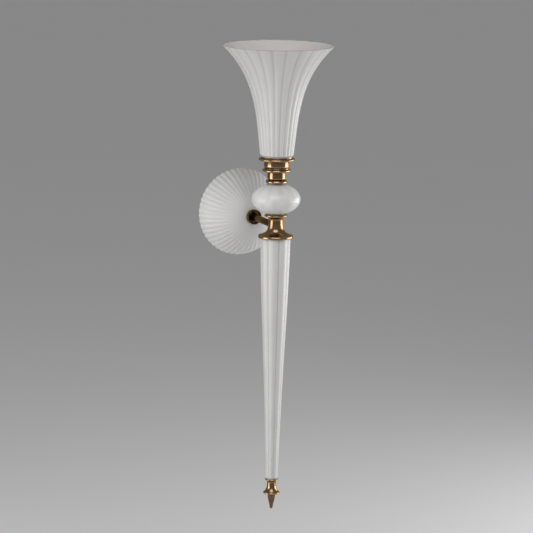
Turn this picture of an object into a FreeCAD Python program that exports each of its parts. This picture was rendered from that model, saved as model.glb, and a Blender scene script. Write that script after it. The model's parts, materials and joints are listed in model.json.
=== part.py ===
"""Torch sconce: a wall light in ribbed opal glass on turned brass, built piece by piece.

Millimetres. The origin is the middle of the mounting plate, on the wall; the wall is the plane Y = 0,
the room lies towards -Y, and +Z is up. The torch stands in front of the wall on a brass arm, and its
upright axis crosses the arm's axis at height zero.
"""

import FreeCAD, Part
import math
import os
import Sketcher

# Each driving size, once: its word, its value in millimetres (or a plain count) and what it is.
SIZES = [
    ("axis_reach", 175.0, "wall to the torch's upright axis"),
    ("fit_clear", 0.1, "radial clearance of a brass bore on its tube or rod"),
    ("hole_clear", 0.6, "radial clearance of a hole in glass on what passes through it"),
    # arm and wall plate
    ("arm_radius", 6.0, "outer radius of the arm tube"),
    ("arm_bore_radius", 4.8, "inner radius of the arm tube"),
    ("arm_end_inset", 8.0, "arm end short of the torch axis"),
    ("wire_slot_radius", 2.5, "half width of the wire hole in the arm's side"),
    ("wire_slot_from_wall", 32.0, "wall to the middle of that hole"),
    ("plate_radius", 67.0, "outer radius of the wall plate"),
    ("plate_thick", 2.5, "sheet thickness of the wall plate"),
    ("plate_slot_spacing", 90.0, "distance between the middles of the two screw slots"),
    ("plate_slot_radius", 2.7, "half width of a screw slot"),
    ("plate_slot_length", 14.0, "whole length of a screw slot"),
    ("cable_hole_radius", 8.0, "hole for the supply cable"),
    ("cable_hole_drop", 38.0, "arm axis down to that hole"),
    ("boss_flange_radius", 21.0, "flange of the boss that holds the arm on the plate"),
    ("boss_flange_thick", 3.5, "thickness of that flange"),
    ("boss_hub_radius", 10.0, "hub of the boss"),
    ("boss_fillet", 2.0, "fillet between the boss's flange and its hub"),
    ("boss_length", 16.0, "boss from the plate to the end of its hub"),
    ("boss_screw_circle", 16.0, "radius of the circle of boss screws"),
    ("boss_screw_count", 3.0, "screws that hold the boss"),
    ("screw_radius", 1.9, "shank radius of the small machine screws"),
    ("screw_head_radius", 3.5, "head radius of the small machine screws"),
    ("screw_head_high", 2.4, "head height of the small machine screws"),
    ("screw_head_round", 1.4, "rounding of those heads"),
    ("earth_across", 32.0, "arm axis to the earth screw, sideways"),
    ("earth_drop", 30.0, "arm axis down to the earth screw"),
    ("washer_radius", 5.5, "outer radius of the earth washer"),
    ("washer_thick", 1.0, "thickness of the earth washer"),
    # terminal block
    ("block_wide", 34.0, "terminal block along its row of poles"),
    ("block_deep", 16.0, "terminal block out from the plate"),
    ("block_high", 18.0, "terminal block upwards"),
    ("block_lift", 26.0, "arm axis up to the underside of the block"),
    ("block_poles", 3.0, "poles in the block"),
    ("block_pitch", 10.0, "distance between two poles"),
    ("block_wire_radius", 2.1, "wire way through a pole"),
    ("block_wire_lift", 7.2, "plate to the middle of the wire ways"),
    ("block_screw_radius", 2.3, "clamp screw of a pole"),
    ("block_screw_long", 5.0, "length of a clamp screw"),
    ("driver_slot", 0.7, "width and depth of the slot in a clamp screw"),
    ("block_screw_sunk", 0.8, "clamp screw head below the face of the block"),
    # glass rosette and its brass cup
    ("rosette_radius", 76.0, "outer radius of the rosette over its ribs"),
    ("rosette_deep", 66.0, "depth of the rosette's dome"),
    ("rosette_wall", 3.6, "glass thickness behind the ribs"),
    ("rosette_rib", 1.5, "height of a rib at the rim"),
    ("rosette_ribs", 48.0, "ribs round the rosette"),
    ("rosette_crown_radius", 14.0, "flat seat at the top of the dome"),
    ("rosette_plain_share", 0.3, "part of the radius, at the middle, that has no ribs"),
    ("wall_gap", 0.5, "rim of the rosette off the wall"),
    ("seal_thick", 1.8, "thickness of every soft seal"),
    ("seal_inset", 1.0, "edge of a seal inside the edge of what it carries"),
    ("cup_radius", 13.0, "brass cup on the rosette"),
    ("cup_floor", 4.6, "thickness of the cup's floor"),
    ("cup_lip", 3.4, "lip of the cup above its floor"),
    ("cup_lip_wall", 1.6, "wall of that lip"),
    ("grub_radius", 1.5, "grub screw in the cup"),
    ("grub_socket_radius", 0.8, "key socket in a grub screw"),
    ("grub_sunk", 0.6, "grub screw below the cup's side"),
    # bell, the brass body on the arm
    ("bell_below", 21.3, "arm axis down to the bell's lower face"),
    ("bell_above", 20.3, "arm axis up to the bell's upper face"),
    ("bell_foot_radius", 30.4, "wide lower flange of the bell"),
    ("bell_foot_high", 8.0, "height of that flange"),
    ("bell_waist_radius", 13.2, "waist of the bell"),
    ("bell_waist_lift", 10.0, "arm axis up to the waist"),
    ("bell_hip_radius", 16.6, "bell where it starts to flare"),
    ("bell_hip_drop", 3.2, "arm axis down to that place"),
    ("bell_top_radius", 19.8, "upper flange of the bell"),
    ("bell_top_high", 4.0, "height of the upper flange"),
    ("bell_pocket_radius", 27.5, "recess under the bell that takes the stem"),
    ("bell_pocket_deep", 4.5, "depth of that recess"),
    ("flange_round", 1.4, "rounding of the brass flanges"),
    ("bell_web", 5.0, "brass between the tube's bore and the rod's bore in the bell"),
    # rod and stem
    ("rod_radius", 3.0, "tie rod through the stem"),
    ("rod_end_gap", 1.0, "rod's end short of the bottom of its bore in the spike"),
    ("stem_length", 429.1, "length of the glass stem"),
    ("stem_top_radius", 26.4, "stem over its flutes at the top"),
    ("stem_high_radius", 23.2, "stem a quarter of the way down"),
    ("stem_mid_radius", 18.3, "stem half way down"),
    ("stem_low_radius", 13.9, "stem three quarters of the way down"),
    ("stem_end_radius", 10.7, "stem at its lower end"),
    ("stem_flutes", 8.0, "round flutes about the stem"),
    ("stem_turn", -7.3, "angle of a groove about the torch's axis, in degrees"),
    ("stem_flute_share", 0.07, "depth of the groove between two flutes, as a part of the radius"),
    ("stem_wall", 3.4, "glass thickness behind the grooves"),
    # tip
    ("tip_cup_radius", 11.8, "upper flange of the tip's cup"),
    ("tip_cup_lip", 2.6, "height of that flange"),
    ("tip_waist_radius", 8.0, "waist of the cup"),
    ("tip_waist_drop", 8.0, "cup's top down to the waist"),
    ("tip_foot_radius", 14.5, "lower flange of the cup"),
    ("tip_foot_high", 3.2, "height of that flange"),
    ("tip_cup_high", 26.3, "whole height of the cup"),
    ("spike_radius", 8.0, "top of the spike"),
    ("spike_mid_radius", 5.0, "spike where its taper turns hollow"),
    ("spike_mid_lift", 14.0, "spike's point up to that place"),
    ("spike_end_radius", 2.7, "round end of the spike"),
    ("spike_ledge", 2.4, "rounded ledge at the top of the spike"),
    ("spike_long", 27.4, "length of the spike"),
    ("spike_thread", 10.5, "depth of the rod's bore in the spike"),
    # centre tube and ball
    ("tube_radius", 5.0, "threaded tube through the ball and the column"),
    ("tube_bore_radius", 3.8, "bore of that tube"),
    ("tube_drop", 6.0, "tube's lower end above the arm's bore, as a drop from the bell's top"),
    ("ball_radius", 42.3, "ball at its widest"),
    ("ball_half_high", 27.0, "half the height that the whole ball would have"),
    ("ball_neck_radius", 15.5, "ground seat at each pole of the ball"),
    ("ball_wall", 4.0, "glass thickness of the ball"),
    # column of turned brass
    ("foot_disc_radius", 19.0, "disc on the ball"),
    ("foot_disc_high", 6.6, "height of that disc"),
    ("low_bead_radius", 15.7, "lower bead at its widest"),
    ("low_bead_neck", 11.6, "lower bead at its top"),
    ("low_bead_high", 15.6, "height of the lower bead"),
    ("low_bead_belly", 4.6, "its widest place above its foot"),
    ("mid_disc_radius", 25.2, "disc between the beads"),
    ("mid_disc_high", 5.2, "height of that disc"),
    ("top_bead_radius", 21.6, "upper bead at its widest"),
    ("top_bead_neck", 15.0, "upper bead at its top"),
    ("top_bead_high", 12.9, "height of the upper bead"),
    ("top_bead_belly", 5.0, "its widest place above its foot"),
    ("dish_radius", 31.2, "dish under the shade"),
    ("dish_high", 7.0, "height of the dish"),
    ("dish_step_radius", 26.0, "step under the dish"),
    ("dish_step_high", 2.6, "height of that step"),
    # trumpet shade
    ("shade_high", 191.5, "height of the trumpet shade"),
    ("shade_foot_radius", 29.2, "trumpet over its ribs at the foot"),
    ("shade_rim_radius", 97.5, "trumpet over its ribs at the rim"),
    ("shade_taper", 19.0, "what the straight taper adds to the radius up to the rim"),
    ("shade_flare_power", 3.7, "how late the trumpet flares"),
    ("shade_ribs", 24.0, "ribs round the trumpet"),
    ("shade_turn", 1.5, "angle of a groove about the torch's axis, in degrees"),
    ("shade_groove", 1.1, "depth of the groove between two ribs"),
    ("shade_wall", 2.8, "glass thickness behind the grooves"),
    ("shade_floor", 5.0, "glass floor in the trumpet's foot"),
    ("clamp_radius", 16.0, "clamp disc on the shade's floor"),
    ("clamp_thick", 2.0, "thickness of the clamp disc"),
    ("nut_radius", 8.1, "nut on the tube, across its corners, halved"),
    ("nut_high", 5.0, "height of that nut"),
    # lampholder and lamp
    ("holder_radius", 13.6, "outer radius of the lampholder"),
    ("holder_cap_high", 17.0, "height of the lampholder's cap"),
    ("holder_corner", 4.0, "rounding under the lampholder's cap"),
    ("holder_lip", 2.0, "rounding at the lampholder's mouth"),
    ("holder_cap_wall", 2.0, "wall and top thickness of that cap"),
    ("holder_body_high", 24.0, "height of the lampholder's body above its cap"),
    ("holder_mouth_radius", 9.4, "mouth of the lampholder"),
    ("holder_floor", 5.0, "insulating floor in the lampholder"),
    ("sleeve_wall", 0.5, "sheet thickness of the brass screw sleeve"),
    ("sleeve_high", 15.0, "height of the screw sleeve"),
    ("contact_long", 12.0, "length of the centre contact"),
    ("contact_wide", 5.0, "width of the centre contact"),
    ("contact_thick", 0.6, "sheet thickness of the centre contact"),
    ("contact_rise", 1.6, "spring height of the centre contact"),
    ("tube_entry", 8.0, "how far the tube reaches into the lampholder's cap"),
    ("lamp_fit", 0.35, "radial clearance of the lamp's cap in the screw sleeve"),
    ("lamp_cap_radius", 6.9, "lamp cap over its thread"),
    ("lamp_cap_high", 17.0, "height of the metal lamp cap"),
    ("lamp_cap_wall", 0.5, "sheet thickness of the lamp cap"),
    ("lamp_button_radius", 2.4, "contact button under the lamp"),
    ("lamp_button_high", 1.2, "height of that button"),
    ("lamp_base_radius", 3.0, "that insulator round the button"),
    ("lamp_base_high", 3.4, "black glass insulator under the lamp cap"),
    ("lamp_bulb_radius", 17.5, "lamp envelope at its widest"),
    ("lamp_bulb_high", 80.0, "height of the lamp envelope above its cap"),
    ("lamp_bulb_belly", 30.0, "its widest place above the cap"),
    ("lamp_tip_radius", 4.0, "round tip of the envelope"),
    ("lamp_glass_wall", 1.0, "glass thickness of the lamp envelope"),
    ("lamp_stalk_radius", 3.0, "glass stalk inside the lamp"),
    ("lamp_stalk_high", 26.0, "height of that stalk"),
    ("lamp_flare_rim", 1.0, "rim of the stalk's flared foot"),
    ("filament_count", 4.0, "light rods about the stalk"),
    ("filament_radius", 0.9, "radius of a light rod"),
    ("filament_long", 30.0, "length of a light rod"),
    ("filament_circle", 6.0, "radius of the circle of light rods"),
    ("filament_wire_radius", 0.3, "wire that holds a light rod off the stalk"),
    ("filament_wire_lift", 2.0, "light rod's foot up to that wire"),
]

# Shapes of round edges: height of the bow over its chord, as a part of the chord. On the outside of a
# turned piece, drawn upwards, a bow above zero is a hollow and one below zero swells.
QUARTER = (math.sqrt(2) - 1) / 2
HALF_ROUND = 0.45
DISC_EDGE = 0.35
BOLD = 0.2
SOFT = 0.12
GENTLE = 0.085
SLIGHT = 0.05
CROWN = 0.039

# Shares of a turned bead: where its swelling ends above the belly, and how far its foot draws in.
BEAD_SHOULDER = 0.42
BEAD_UNDERCUT = 0.4

# Where the arcs of an oval meet, as shares of its half width and of its half height.
SHOULDER_OUT = 0.8
SHOULDER_UP = 0.6

WALL_TURN = FreeCAD.Rotation(FreeCAD.Vector(1, 0, 0), 90)
UPRIGHT = FreeCAD.Rotation()
UPSIDE_DOWN = FreeCAD.Rotation(FreeCAD.Vector(1, 0, 0), 180)
HEX_SIDES = 6

# Sections that a blown form is lofted through, and how the dome rises between rim and crown.
DOME_STATIONS = 6
DOME_POWER = 1.5
TRUMPET_STATIONS = (0.0, 0.2, 0.4, 0.58, 0.72, 0.84, 0.93, 1.0)


class Size:
    """A number that remembers the sheet's expression it comes from, so that a sketch can follow it."""

    def __init__(self, value, text):
        self.value = value
        self.text = text

    def joined(self, sign, other, value):
        return Size(value, f"({self.text} {sign} {as_size(other).text})")

    def __add__(self, other):
        return self.joined("+", other, self.value + as_size(other).value)

    def __sub__(self, other):
        return self.joined("-", other, self.value - as_size(other).value)

    def __mul__(self, other):
        return self.joined("*", other, self.value * as_size(other).value)

    def __truediv__(self, other):
        return self.joined("/", other, self.value / as_size(other).value)

    def __neg__(self):
        return Size(-self.value, f"(-{self.text})")

    def root(self):
        return Size(math.sqrt(self.value), f"sqrt({self.text})")


def as_size(number):
    return number if isinstance(number, Size) else Size(float(number), repr(float(number)))


class Bow:
    """An outline's next corner, reached along an arc: left of the way if the bow is above zero."""

    def __init__(self, across, up, bow):
        self.corner = (across, up)
        self.bow = bow


doc = FreeCAD.newDocument("torch_sconce")
NOTHING = as_size(0)


def make_sheet():
    sheet = doc.addObject("Spreadsheet::Sheet", "Sizes")
    for row, (word, value, meaning) in enumerate(SIZES, start=1):
        sheet.set(f"A{row}", meaning)
        sheet.set(f"B{row}", str(value))
        sheet.setAlias(f"B{row}", word)
    doc.recompute()
    return {word: Size(float(sheet.get(word)), f"Sizes.{word}") for word, _, _ in SIZES}


size = make_sheet()


def number(word):
    return size[word].value


def count(word):
    return round(size[word].value)


# ---------------------------------------------------------------- sketches and features


def origin_part(body, role):
    return next(part for part in body.Origin.OriginFeatures if part.Role == role)


def new_sketch(body, role, offset=NOTHING):
    """A sketch on one of the body's own origin planes, lifted off it by the offset."""
    sketch = body.newObject("Sketcher::SketchObject", body.Name + "_outline")
    sketch.AttachmentSupport = [(origin_part(body, role), "")]
    sketch.MapMode = "FlatFace"
    sketch.setExpression("AttachmentOffset.Base.z", offset.text)
    return sketch


def pin_point(sketch, edge, end, corner, word):
    """Holds one end of an edge at its two sizes."""
    for kind, place in (("DistanceX", corner[0]), ("DistanceY", corner[1])):
        at = sketch.addConstraint(Sketcher.Constraint(kind, -1, 1, edge, end, place.value))
        name = f"{word}_{kind[-1].lower()}"
        sketch.renameConstraint(at, name)
        sketch.setExpression(f"Constraints.{name}", place.text)


def flat_point(corner):
    return FreeCAD.Vector(corner[0].value, corner[1].value, 0)


def add_bow(sketch, start, corner, bow, word):
    """Adds an arc from the start to the corner; its centre follows the chord between them."""
    first = flat_point(start)
    last = flat_point(corner)
    chord = last - first
    left = FreeCAD.Vector(-chord.y, chord.x, 0)
    bow = as_size(bow)
    middle = (first + last) * 0.5 + left * bow.value
    edge = sketch.addGeometry(Part.Arc(first, middle, last))
    across = corner[0] - start[0]
    up = corner[1] - start[1]
    back = bow / 2 - as_size(1) / (bow * 8)
    if abs(up.value) > abs(across.value):
        kind, centre = "DistanceX", (start[0] + corner[0]) / 2 - up * back
    else:
        kind, centre = "DistanceY", (start[1] + corner[1]) / 2 + across * back
    at = sketch.addConstraint(Sketcher.Constraint(kind, -1, 1, edge, 3, centre.value))
    sketch.renameConstraint(at, word)
    sketch.setExpression(f"Constraints.{word}", centre.text)
    return edge


def draw_outline(sketch, outline):
    """Draws a closed outline of straight and round edges, each corner held by its own two sizes."""
    corners = [step.corner if isinstance(step, Bow) else step for step in outline]
    corners = [(as_size(across), as_size(up)) for across, up in corners]
    edges = []
    for turn, (step, corner) in enumerate(zip(outline, corners)):
        start = corners[turn - 1]
        if isinstance(step, Bow):
            edge = add_bow(sketch, start, corner, step.bow, f"bow_{turn}")
        else:
            edge = sketch.addGeometry(Part.LineSegment(flat_point(start), flat_point(corner)))
        near = sketch.getPoint(edge, 1).distanceToPoint(flat_point(corner))
        far = sketch.getPoint(edge, 2).distanceToPoint(flat_point(corner))
        start_end, corner_end = (2, 1) if near < far else (1, 2)
        edges.append((edge, start_end, corner_end))
    for turn, (edge, _, corner_end) in enumerate(edges):
        following, following_start, _ = edges[(turn + 1) % len(edges)]
        joined = Sketcher.Constraint("Coincident", edge, corner_end, following, following_start)
        sketch.addConstraint(joined)
        pin_point(sketch, edge, corner_end, corners[turn], f"corner_{turn}")


def circle_at(sketch, across, up, radius, word="hole"):
    middle = FreeCAD.Vector(across.value, up.value, 0)
    edge = sketch.addGeometry(Part.Circle(middle, FreeCAD.Vector(0, 0, 1), radius.value))
    pin_point(sketch, edge, 3, (across, up), word)
    at = sketch.addConstraint(Sketcher.Constraint("Radius", edge, radius.value))
    sketch.renameConstraint(at, f"{word}_radius")
    sketch.setExpression(f"Constraints.{word}_radius", radius.text)


def new_body(name):
    return doc.addObject("PartDesign::Body", name)


def turned(name, outline):
    """A piece from the lathe: half its section, in radius and height, turned about its own axis."""
    body = new_body(name)
    sketch = new_sketch(body, "XZ_Plane")
    draw_outline(sketch, outline)
    turn = body.newObject("PartDesign::Revolution", name + "_turn")
    turn.Profile = sketch
    turn.ReferenceAxis = (sketch, ["V_Axis"])
    turn.Angle = 360
    return body


def ring(name, inner, outer, high):
    """A plain turned ring, such as a washer, a seal or a tube, standing on its own origin."""
    return turned(name, [(outer, NOTHING), (outer, high), (inner, high), (inner, NOTHING)])


def padded(name, outline, thick):
    """A plate: a flat outline on the body's XY plane, raised by its thickness."""
    body = new_body(name)
    sketch = new_sketch(body, "XY_Plane")
    draw_outline(sketch, outline)
    pad = body.newObject("PartDesign::Pad", name + "_pad")
    pad.Profile = sketch
    pad.setExpression("Length", thick.text)
    return body


def pocket(body, role, draw, deep=None, offset=NOTHING, against=False):
    """Cuts a sketched hole from the plane, right through or to a depth, and checks that it cut."""
    doc.recompute()
    before = body.Shape.Volume
    sketch = new_sketch(body, role, offset)
    draw(sketch)
    cut = body.newObject("PartDesign::Pocket", body.Name + "_cut")
    cut.Profile = sketch
    cut.Reversed = against
    if deep is None:
        cut.Type = "ThroughAll"
    else:
        cut.setExpression("Length", deep.text)
    doc.recompute()
    if not body.Shape.Volume < before:
        raise RuntimeError(f"{cut.Name} cut nothing")
    return cut


def repeated(body, feature, copies_text):
    """Repeats a cut evenly round the body's own axis."""
    pattern = body.newObject("PartDesign::PolarPattern", body.Name + "_pattern")
    pattern.Originals = [feature]
    pattern.Axis = (origin_part(body, "Z_Axis"), [""])
    pattern.Angle = 360
    pattern.setExpression("Occurrences", copies_text)
    body.Tip = pattern
    return pattern


def code_shape(name, shape):
    """A piece whose surface no sketch gives: its shape is made by a function from the same sizes."""
    piece = doc.addObject("Part::Feature", name)
    piece.Shape = shape
    return piece


def place(piece, across=NOTHING, out=NOTHING, up=NOTHING, turn=UPRIGHT):
    """Puts a piece at its distance across, out from the wall and up from the arm's axis."""
    piece.Placement = FreeCAD.Placement(FreeCAD.Vector(across.value, -out.value, up.value), turn)
    piece.setExpression("Placement.Base.x", across.text)
    piece.setExpression("Placement.Base.y", (-out).text)
    piece.setExpression("Placement.Base.z", up.text)
    return piece


def on_torch(piece, up):
    return place(piece, out=size["axis_reach"], up=up)


def on_arm(piece, out):
    return place(piece, out=out, turn=WALL_TURN)


# ---------------------------------------------------------------- ribbed glass


def polar(radius, angle, height):
    return FreeCAD.Vector(radius * math.cos(angle), radius * math.sin(angle), height)


def lobed_wire(radius, groove, lobes, height, turn=0.0):
    """A closed ring of round lobes: their crests on the radius, the grooves between them deeper."""
    pitch = 2 * math.pi / lobes
    edges = []
    for lobe in range(lobes):
        start = math.radians(turn) + lobe * pitch
        inner = radius - groove
        first = polar(inner, start, height)
        crest = polar(radius, start + pitch / 2, height)
        last = polar(inner, start + pitch, height)
        edges.append(Part.Arc(first, crest, last).toShape())
    return Part.Wire(edges)


def round_wire(radius, height):
    return Part.Wire(Part.makeCircle(radius, FreeCAD.Vector(0, 0, height)))


def lofted(wires):
    return Part.makeLoft(wires, True, False)


def bore(radius, low, high):
    return Part.makeCylinder(radius, high - low, FreeCAD.Vector(0, 0, low))


# ---------------------------------------------------------------- wall plate and what it carries


def wall_plate():
    """Round steel plate: two level slots for the wall screws, a cable hole and tapped screw holes."""
    arm_hole = size["arm_radius"] + size["fit_clear"]
    plate = ring("wall_plate", arm_hole, size["plate_radius"], size["plate_thick"])
    half = (size["plate_slot_length"] / 2) - size["plate_slot_radius"]
    middle = size["plate_slot_spacing"] / 2
    wide = size["plate_slot_radius"]

    def slot(sketch):
        right = middle + half
        left = middle - half
        draw_outline(sketch, [(right, -wide), Bow(right, wide, -0.5), (left, wide), Bow(left, -wide, -0.5)])

    slot_cut = pocket(plate, "XY_Plane", slot, against=True)
    repeated(plate, slot_cut, "2")

    def boss_hole(sketch):
        circle_at(sketch, size["boss_screw_circle"], NOTHING, size["screw_radius"] + size["fit_clear"])

    boss_cut = pocket(plate, "XY_Plane", boss_hole, against=True)
    repeated(plate, boss_cut, size["boss_screw_count"].text)

    def other_holes(sketch):
        circle_at(sketch, NOTHING, -size["cable_hole_drop"], size["cable_hole_radius"], "cable")
        tap = size["screw_radius"] + size["fit_clear"]
        circle_at(sketch, size["earth_across"], -size["earth_drop"], tap, "earth")

    pocket(plate, "XY_Plane", other_holes, against=True)
    return on_arm(plate, NOTHING)


def arm_boss():
    """Flanged brass boss: screwed to the plate, its hub holds the end of the arm."""
    inner = size["arm_radius"] + size["fit_clear"]
    hub = size["boss_hub_radius"]
    flange = size["boss_flange_radius"]
    thick = size["boss_flange_thick"]
    long = size["boss_length"]
    fillet = size["boss_fillet"]
    outline = [(flange, 0), (flange, thick), (hub + fillet, thick), Bow(hub, thick + fillet, QUARTER),
               (hub, long), (inner, long), (inner, 0)]
    boss = turned("arm_boss", outline)

    def screw_hole(sketch):
        circle_at(sketch, size["boss_screw_circle"], NOTHING, size["screw_radius"] + size["fit_clear"])

    hole = pocket(boss, "XY_Plane", screw_hole, against=True)
    repeated(boss, hole, size["boss_screw_count"].text)
    return on_arm(boss, size["plate_thick"])


def screw_solid(under_head):
    """A pan-head machine screw, its shank down from height zero by the length under its head."""
    head = number("screw_head_radius")
    high = number("screw_head_high")
    solid = Part.makeCylinder(head, high)
    rim = [edge for edge in solid.Edges if abs(edge.BoundBox.ZMin - high) < 1e-6 and edge.Closed]
    solid = solid.makeFillet(number("screw_head_round"), rim)
    shank = bore(number("screw_radius"), -under_head, 0)
    return solid.fuse(shank).removeSplitter()


def boss_screws():
    """Three screws through the boss's flange into the plate, flush with the plate's back."""
    long = number("boss_flange_thick") + number("plate_thick")
    screws = []
    total = count("boss_screw_count")
    for turn in range(total):
        screw = screw_solid(long)
        screw.translate(polar(number("boss_screw_circle"), 2 * math.pi * turn / total, 0))
        screws.append(screw)
    group = code_shape("boss_screws", Part.makeCompound(screws))
    return on_arm(group, size["plate_thick"] + size["boss_flange_thick"])


def earth_parts():
    """Earth screw and its washer on the plate."""
    washer = ring("earth_washer", size["screw_radius"] + size["fit_clear"], size["washer_radius"],
                  size["washer_thick"])
    across = size["earth_across"]
    drop = -size["earth_drop"]
    place(washer, across, size["plate_thick"], drop, WALL_TURN)
    screw = code_shape("earth_screw", screw_solid(number("plate_thick") + number("washer_thick")))
    place(screw, across, size["plate_thick"] + size["washer_thick"], drop, WALL_TURN)
    return [washer, screw]


def terminal_block():
    """Insulating block with a row of wire ways upwards, each met by a clamp screw from the front."""
    half = size["block_wide"] / 2
    low = size["block_lift"]
    high = low + size["block_high"]
    block = padded("terminal_block", [(half, low), (half, high), (-half, high), (-half, low)],
                   size["block_deep"])
    poles = count("block_poles")
    middle = (poles - 1) / 2

    def wire_ways(sketch):
        for pole in range(poles):
            across = size["block_pitch"] * (pole - middle)
            circle_at(sketch, across, size["block_wire_lift"], size["block_wire_radius"], f"way_{pole}")

    pocket(block, "XZ_Plane", wire_ways)

    def screw_wells(sketch):
        for pole in range(poles):
            across = size["block_pitch"] * (pole - middle)
            well = size["block_screw_radius"] + size["fit_clear"]
            circle_at(sketch, across, low + size["block_high"] / 2, well, f"well_{pole}")

    deep = size["block_screw_long"] + size["block_screw_sunk"]
    pocket(block, "XY_Plane", screw_wells, deep, size["block_deep"])
    return on_arm(block, size["plate_thick"])


def terminal_screws():
    """One slotted clamp screw for each pole of the block."""
    poles = count("block_poles")
    long = number("block_screw_long")
    radius = number("block_screw_radius")
    slot_wide = number("driver_slot")
    screws = []
    for pole in range(poles):
        screw = Part.makeCylinder(radius, long)
        corner = FreeCAD.Vector(-radius, -slot_wide / 2, long - slot_wide)
        slot = Part.makeBox(2 * radius, slot_wide, slot_wide, corner)
        screw = screw.cut(slot)
        across = number("block_pitch") * (pole - (poles - 1) / 2)
        screw.translate(FreeCAD.Vector(across, number("block_lift") + number("block_high") / 2, 0))
        screws.append(screw)
    group = code_shape("terminal_screws", Part.makeCompound(screws))
    foot = size["plate_thick"] + size["block_deep"] - size["block_screw_sunk"] - size["block_screw_long"]
    return on_arm(group, foot)


def arm_tube():
    """Brass tube from the plate to the bell, with a wire hole in its side behind the rosette."""
    long = size["axis_reach"] - size["arm_end_inset"]
    tube = ring("arm_tube", size["arm_bore_radius"], size["arm_radius"], long)

    def wire_hole(sketch):
        circle_at(sketch, NOTHING, size["wire_slot_from_wall"], size["wire_slot_radius"])

    pocket(tube, "XZ_Plane", wire_hole)
    return on_arm(tube, NOTHING)


# ---------------------------------------------------------------- rosette


def dome_station(turn, radius, deep):
    """Radius and height of the dome at a station between its rim (0) and its crown (90 degrees)."""
    angle = math.radians(turn)
    return radius * math.cos(angle), deep * math.sin(angle) ** DOME_POWER


def crown_turn(radius, seat):
    return math.degrees(math.acos(seat / radius))


def dome_solid(radius, deep, seat, rib):
    """The dome as a closed solid: ribbed outside where a rib height is given, otherwise plain."""
    plain = number("rosette_plain_share")
    wires = []
    for station in range(DOME_STATIONS + 1):
        turn = crown_turn(radius, seat) * station / DOME_STATIONS
        across, height = dome_station(turn, radius, deep)
        fade = max(0.0, (across / radius - plain) / (1 - plain))
        if rib:
            wires.append(lobed_wire(across, rib * fade, count("rosette_ribs"), height))
        else:
            wires.append(round_wire(across, height))
    return lofted(wires)


def glass_rosette():
    """Deep ribbed dome of opal glass, open to the wall, with a hole for the arm at its crown."""
    radius = number("rosette_radius")
    deep = number("rosette_deep")
    wall = number("rosette_wall")
    rib = number("rosette_rib")
    seat = number("rosette_crown_radius")
    outer = dome_solid(radius, deep, seat, rib)
    inner = dome_solid(radius - rib - wall, deep - wall, seat, 0)
    skirt = bore(radius - rib - wall, -wall, 0)
    arm_hole = bore(number("arm_radius") + number("hole_clear"), 0, deep + wall)
    glass = outer.cut(inner).cut(skirt).cut(arm_hole)
    return on_arm(code_shape("glass_rosette", glass), size["wall_gap"])


def crown_out():
    """Distance from the wall to the flat seat at the rosette's crown."""
    turn = math.radians(crown_turn(number("rosette_radius"), number("rosette_crown_radius")))
    seat_share = math.sin(turn) ** DOME_POWER
    return size["wall_gap"] + size["rosette_deep"] * seat_share


def rosette_cup():
    """Brass cup on the rosette's crown: a thick floor with the arm's hole, inside a turned lip."""
    inner = size["arm_radius"] + size["fit_clear"]
    outer = size["cup_radius"]
    lip_inner = outer - size["cup_lip_wall"]
    floor = size["cup_floor"]
    top = floor + size["cup_lip"]
    outline = [(outer, 0), (outer, top), Bow(lip_inner, top, -HALF_ROUND), (lip_inner, floor),
               (inner, floor), (inner, 0)]
    cup = turned("rosette_cup", outline)

    def grub_hole(sketch):
        circle_at(sketch, NOTHING, floor / 2, size["grub_radius"])

    pocket(cup, "XZ_Plane", grub_hole, against=True)
    return on_arm(cup, crown_out() + size["seal_thick"])


def cup_grub_screw():
    """Grub screw under the cup that clamps it on the arm, with a six-sided key socket."""
    long = number("cup_radius") - number("grub_sunk") - number("arm_radius")
    radius = number("grub_radius")
    screw = Part.makeCylinder(radius, long)
    socket_radius = number("grub_socket_radius")
    corners = [polar(socket_radius, math.pi / 3 * side, long - radius) for side in range(HEX_SIDES + 1)]
    socket = Part.Face(Part.makePolygon(corners)).extrude(FreeCAD.Vector(0, 0, radius))
    piece = code_shape("cup_grub_screw", screw.cut(socket))
    out = crown_out() + size["seal_thick"] + size["cup_floor"] / 2
    return place(piece, out=out, up=-size["arm_radius"], turn=UPSIDE_DOWN)


def rosette_seal():
    seal = ring("rosette_seal", size["arm_radius"] + size["hole_clear"],
                size["cup_radius"] - size["seal_inset"], size["seal_thick"])
    return on_arm(seal, crown_out())


# ---------------------------------------------------------------- bell, stem and tip


def bell_body():
    """Turned brass body: upper flange, waist and flaring foot, bored for the arm, tube and rod."""
    below = size["bell_below"]
    top = below + size["bell_above"]
    foot = size["bell_foot_radius"]
    high = size["bell_foot_high"]
    waist = below + size["bell_waist_lift"]
    hip = below - size["bell_hip_drop"]
    neck = top - size["bell_top_high"]
    ceiling = size["bell_pocket_deep"]
    tube = size["tube_radius"] + size["fit_clear"]
    rod = size["rod_radius"] + size["fit_clear"]
    web = ceiling + size["bell_web"]
    round_edge = size["flange_round"]
    outline = [
        (foot, 0),
        (foot, high - round_edge),
        Bow(foot - round_edge, high, -QUARTER),
        Bow(size["bell_hip_radius"], hip, GENTLE),
        Bow(size["bell_waist_radius"], waist, SLIGHT),
        Bow(size["bell_top_radius"] - round_edge, neck, BOLD),
        Bow(size["bell_top_radius"] - round_edge, top, -HALF_ROUND),
        (tube, top),
        (tube, web),
        (rod, web),
        (rod, ceiling),
        (size["bell_pocket_radius"], ceiling),
        (size["bell_pocket_radius"], 0),
    ]
    bell = turned("bell_body", outline)

    def arm_hole(sketch):
        circle_at(sketch, NOTHING, below, size["arm_radius"] + size["fit_clear"])

    pocket(bell, "XZ_Plane", arm_hole, size["bell_foot_radius"])
    return on_torch(bell, -below)


def stem_ceiling():
    """Height of the recess's ceiling in the bell, from which the stem hangs."""
    return size["bell_pocket_deep"] - size["bell_below"]


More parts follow.
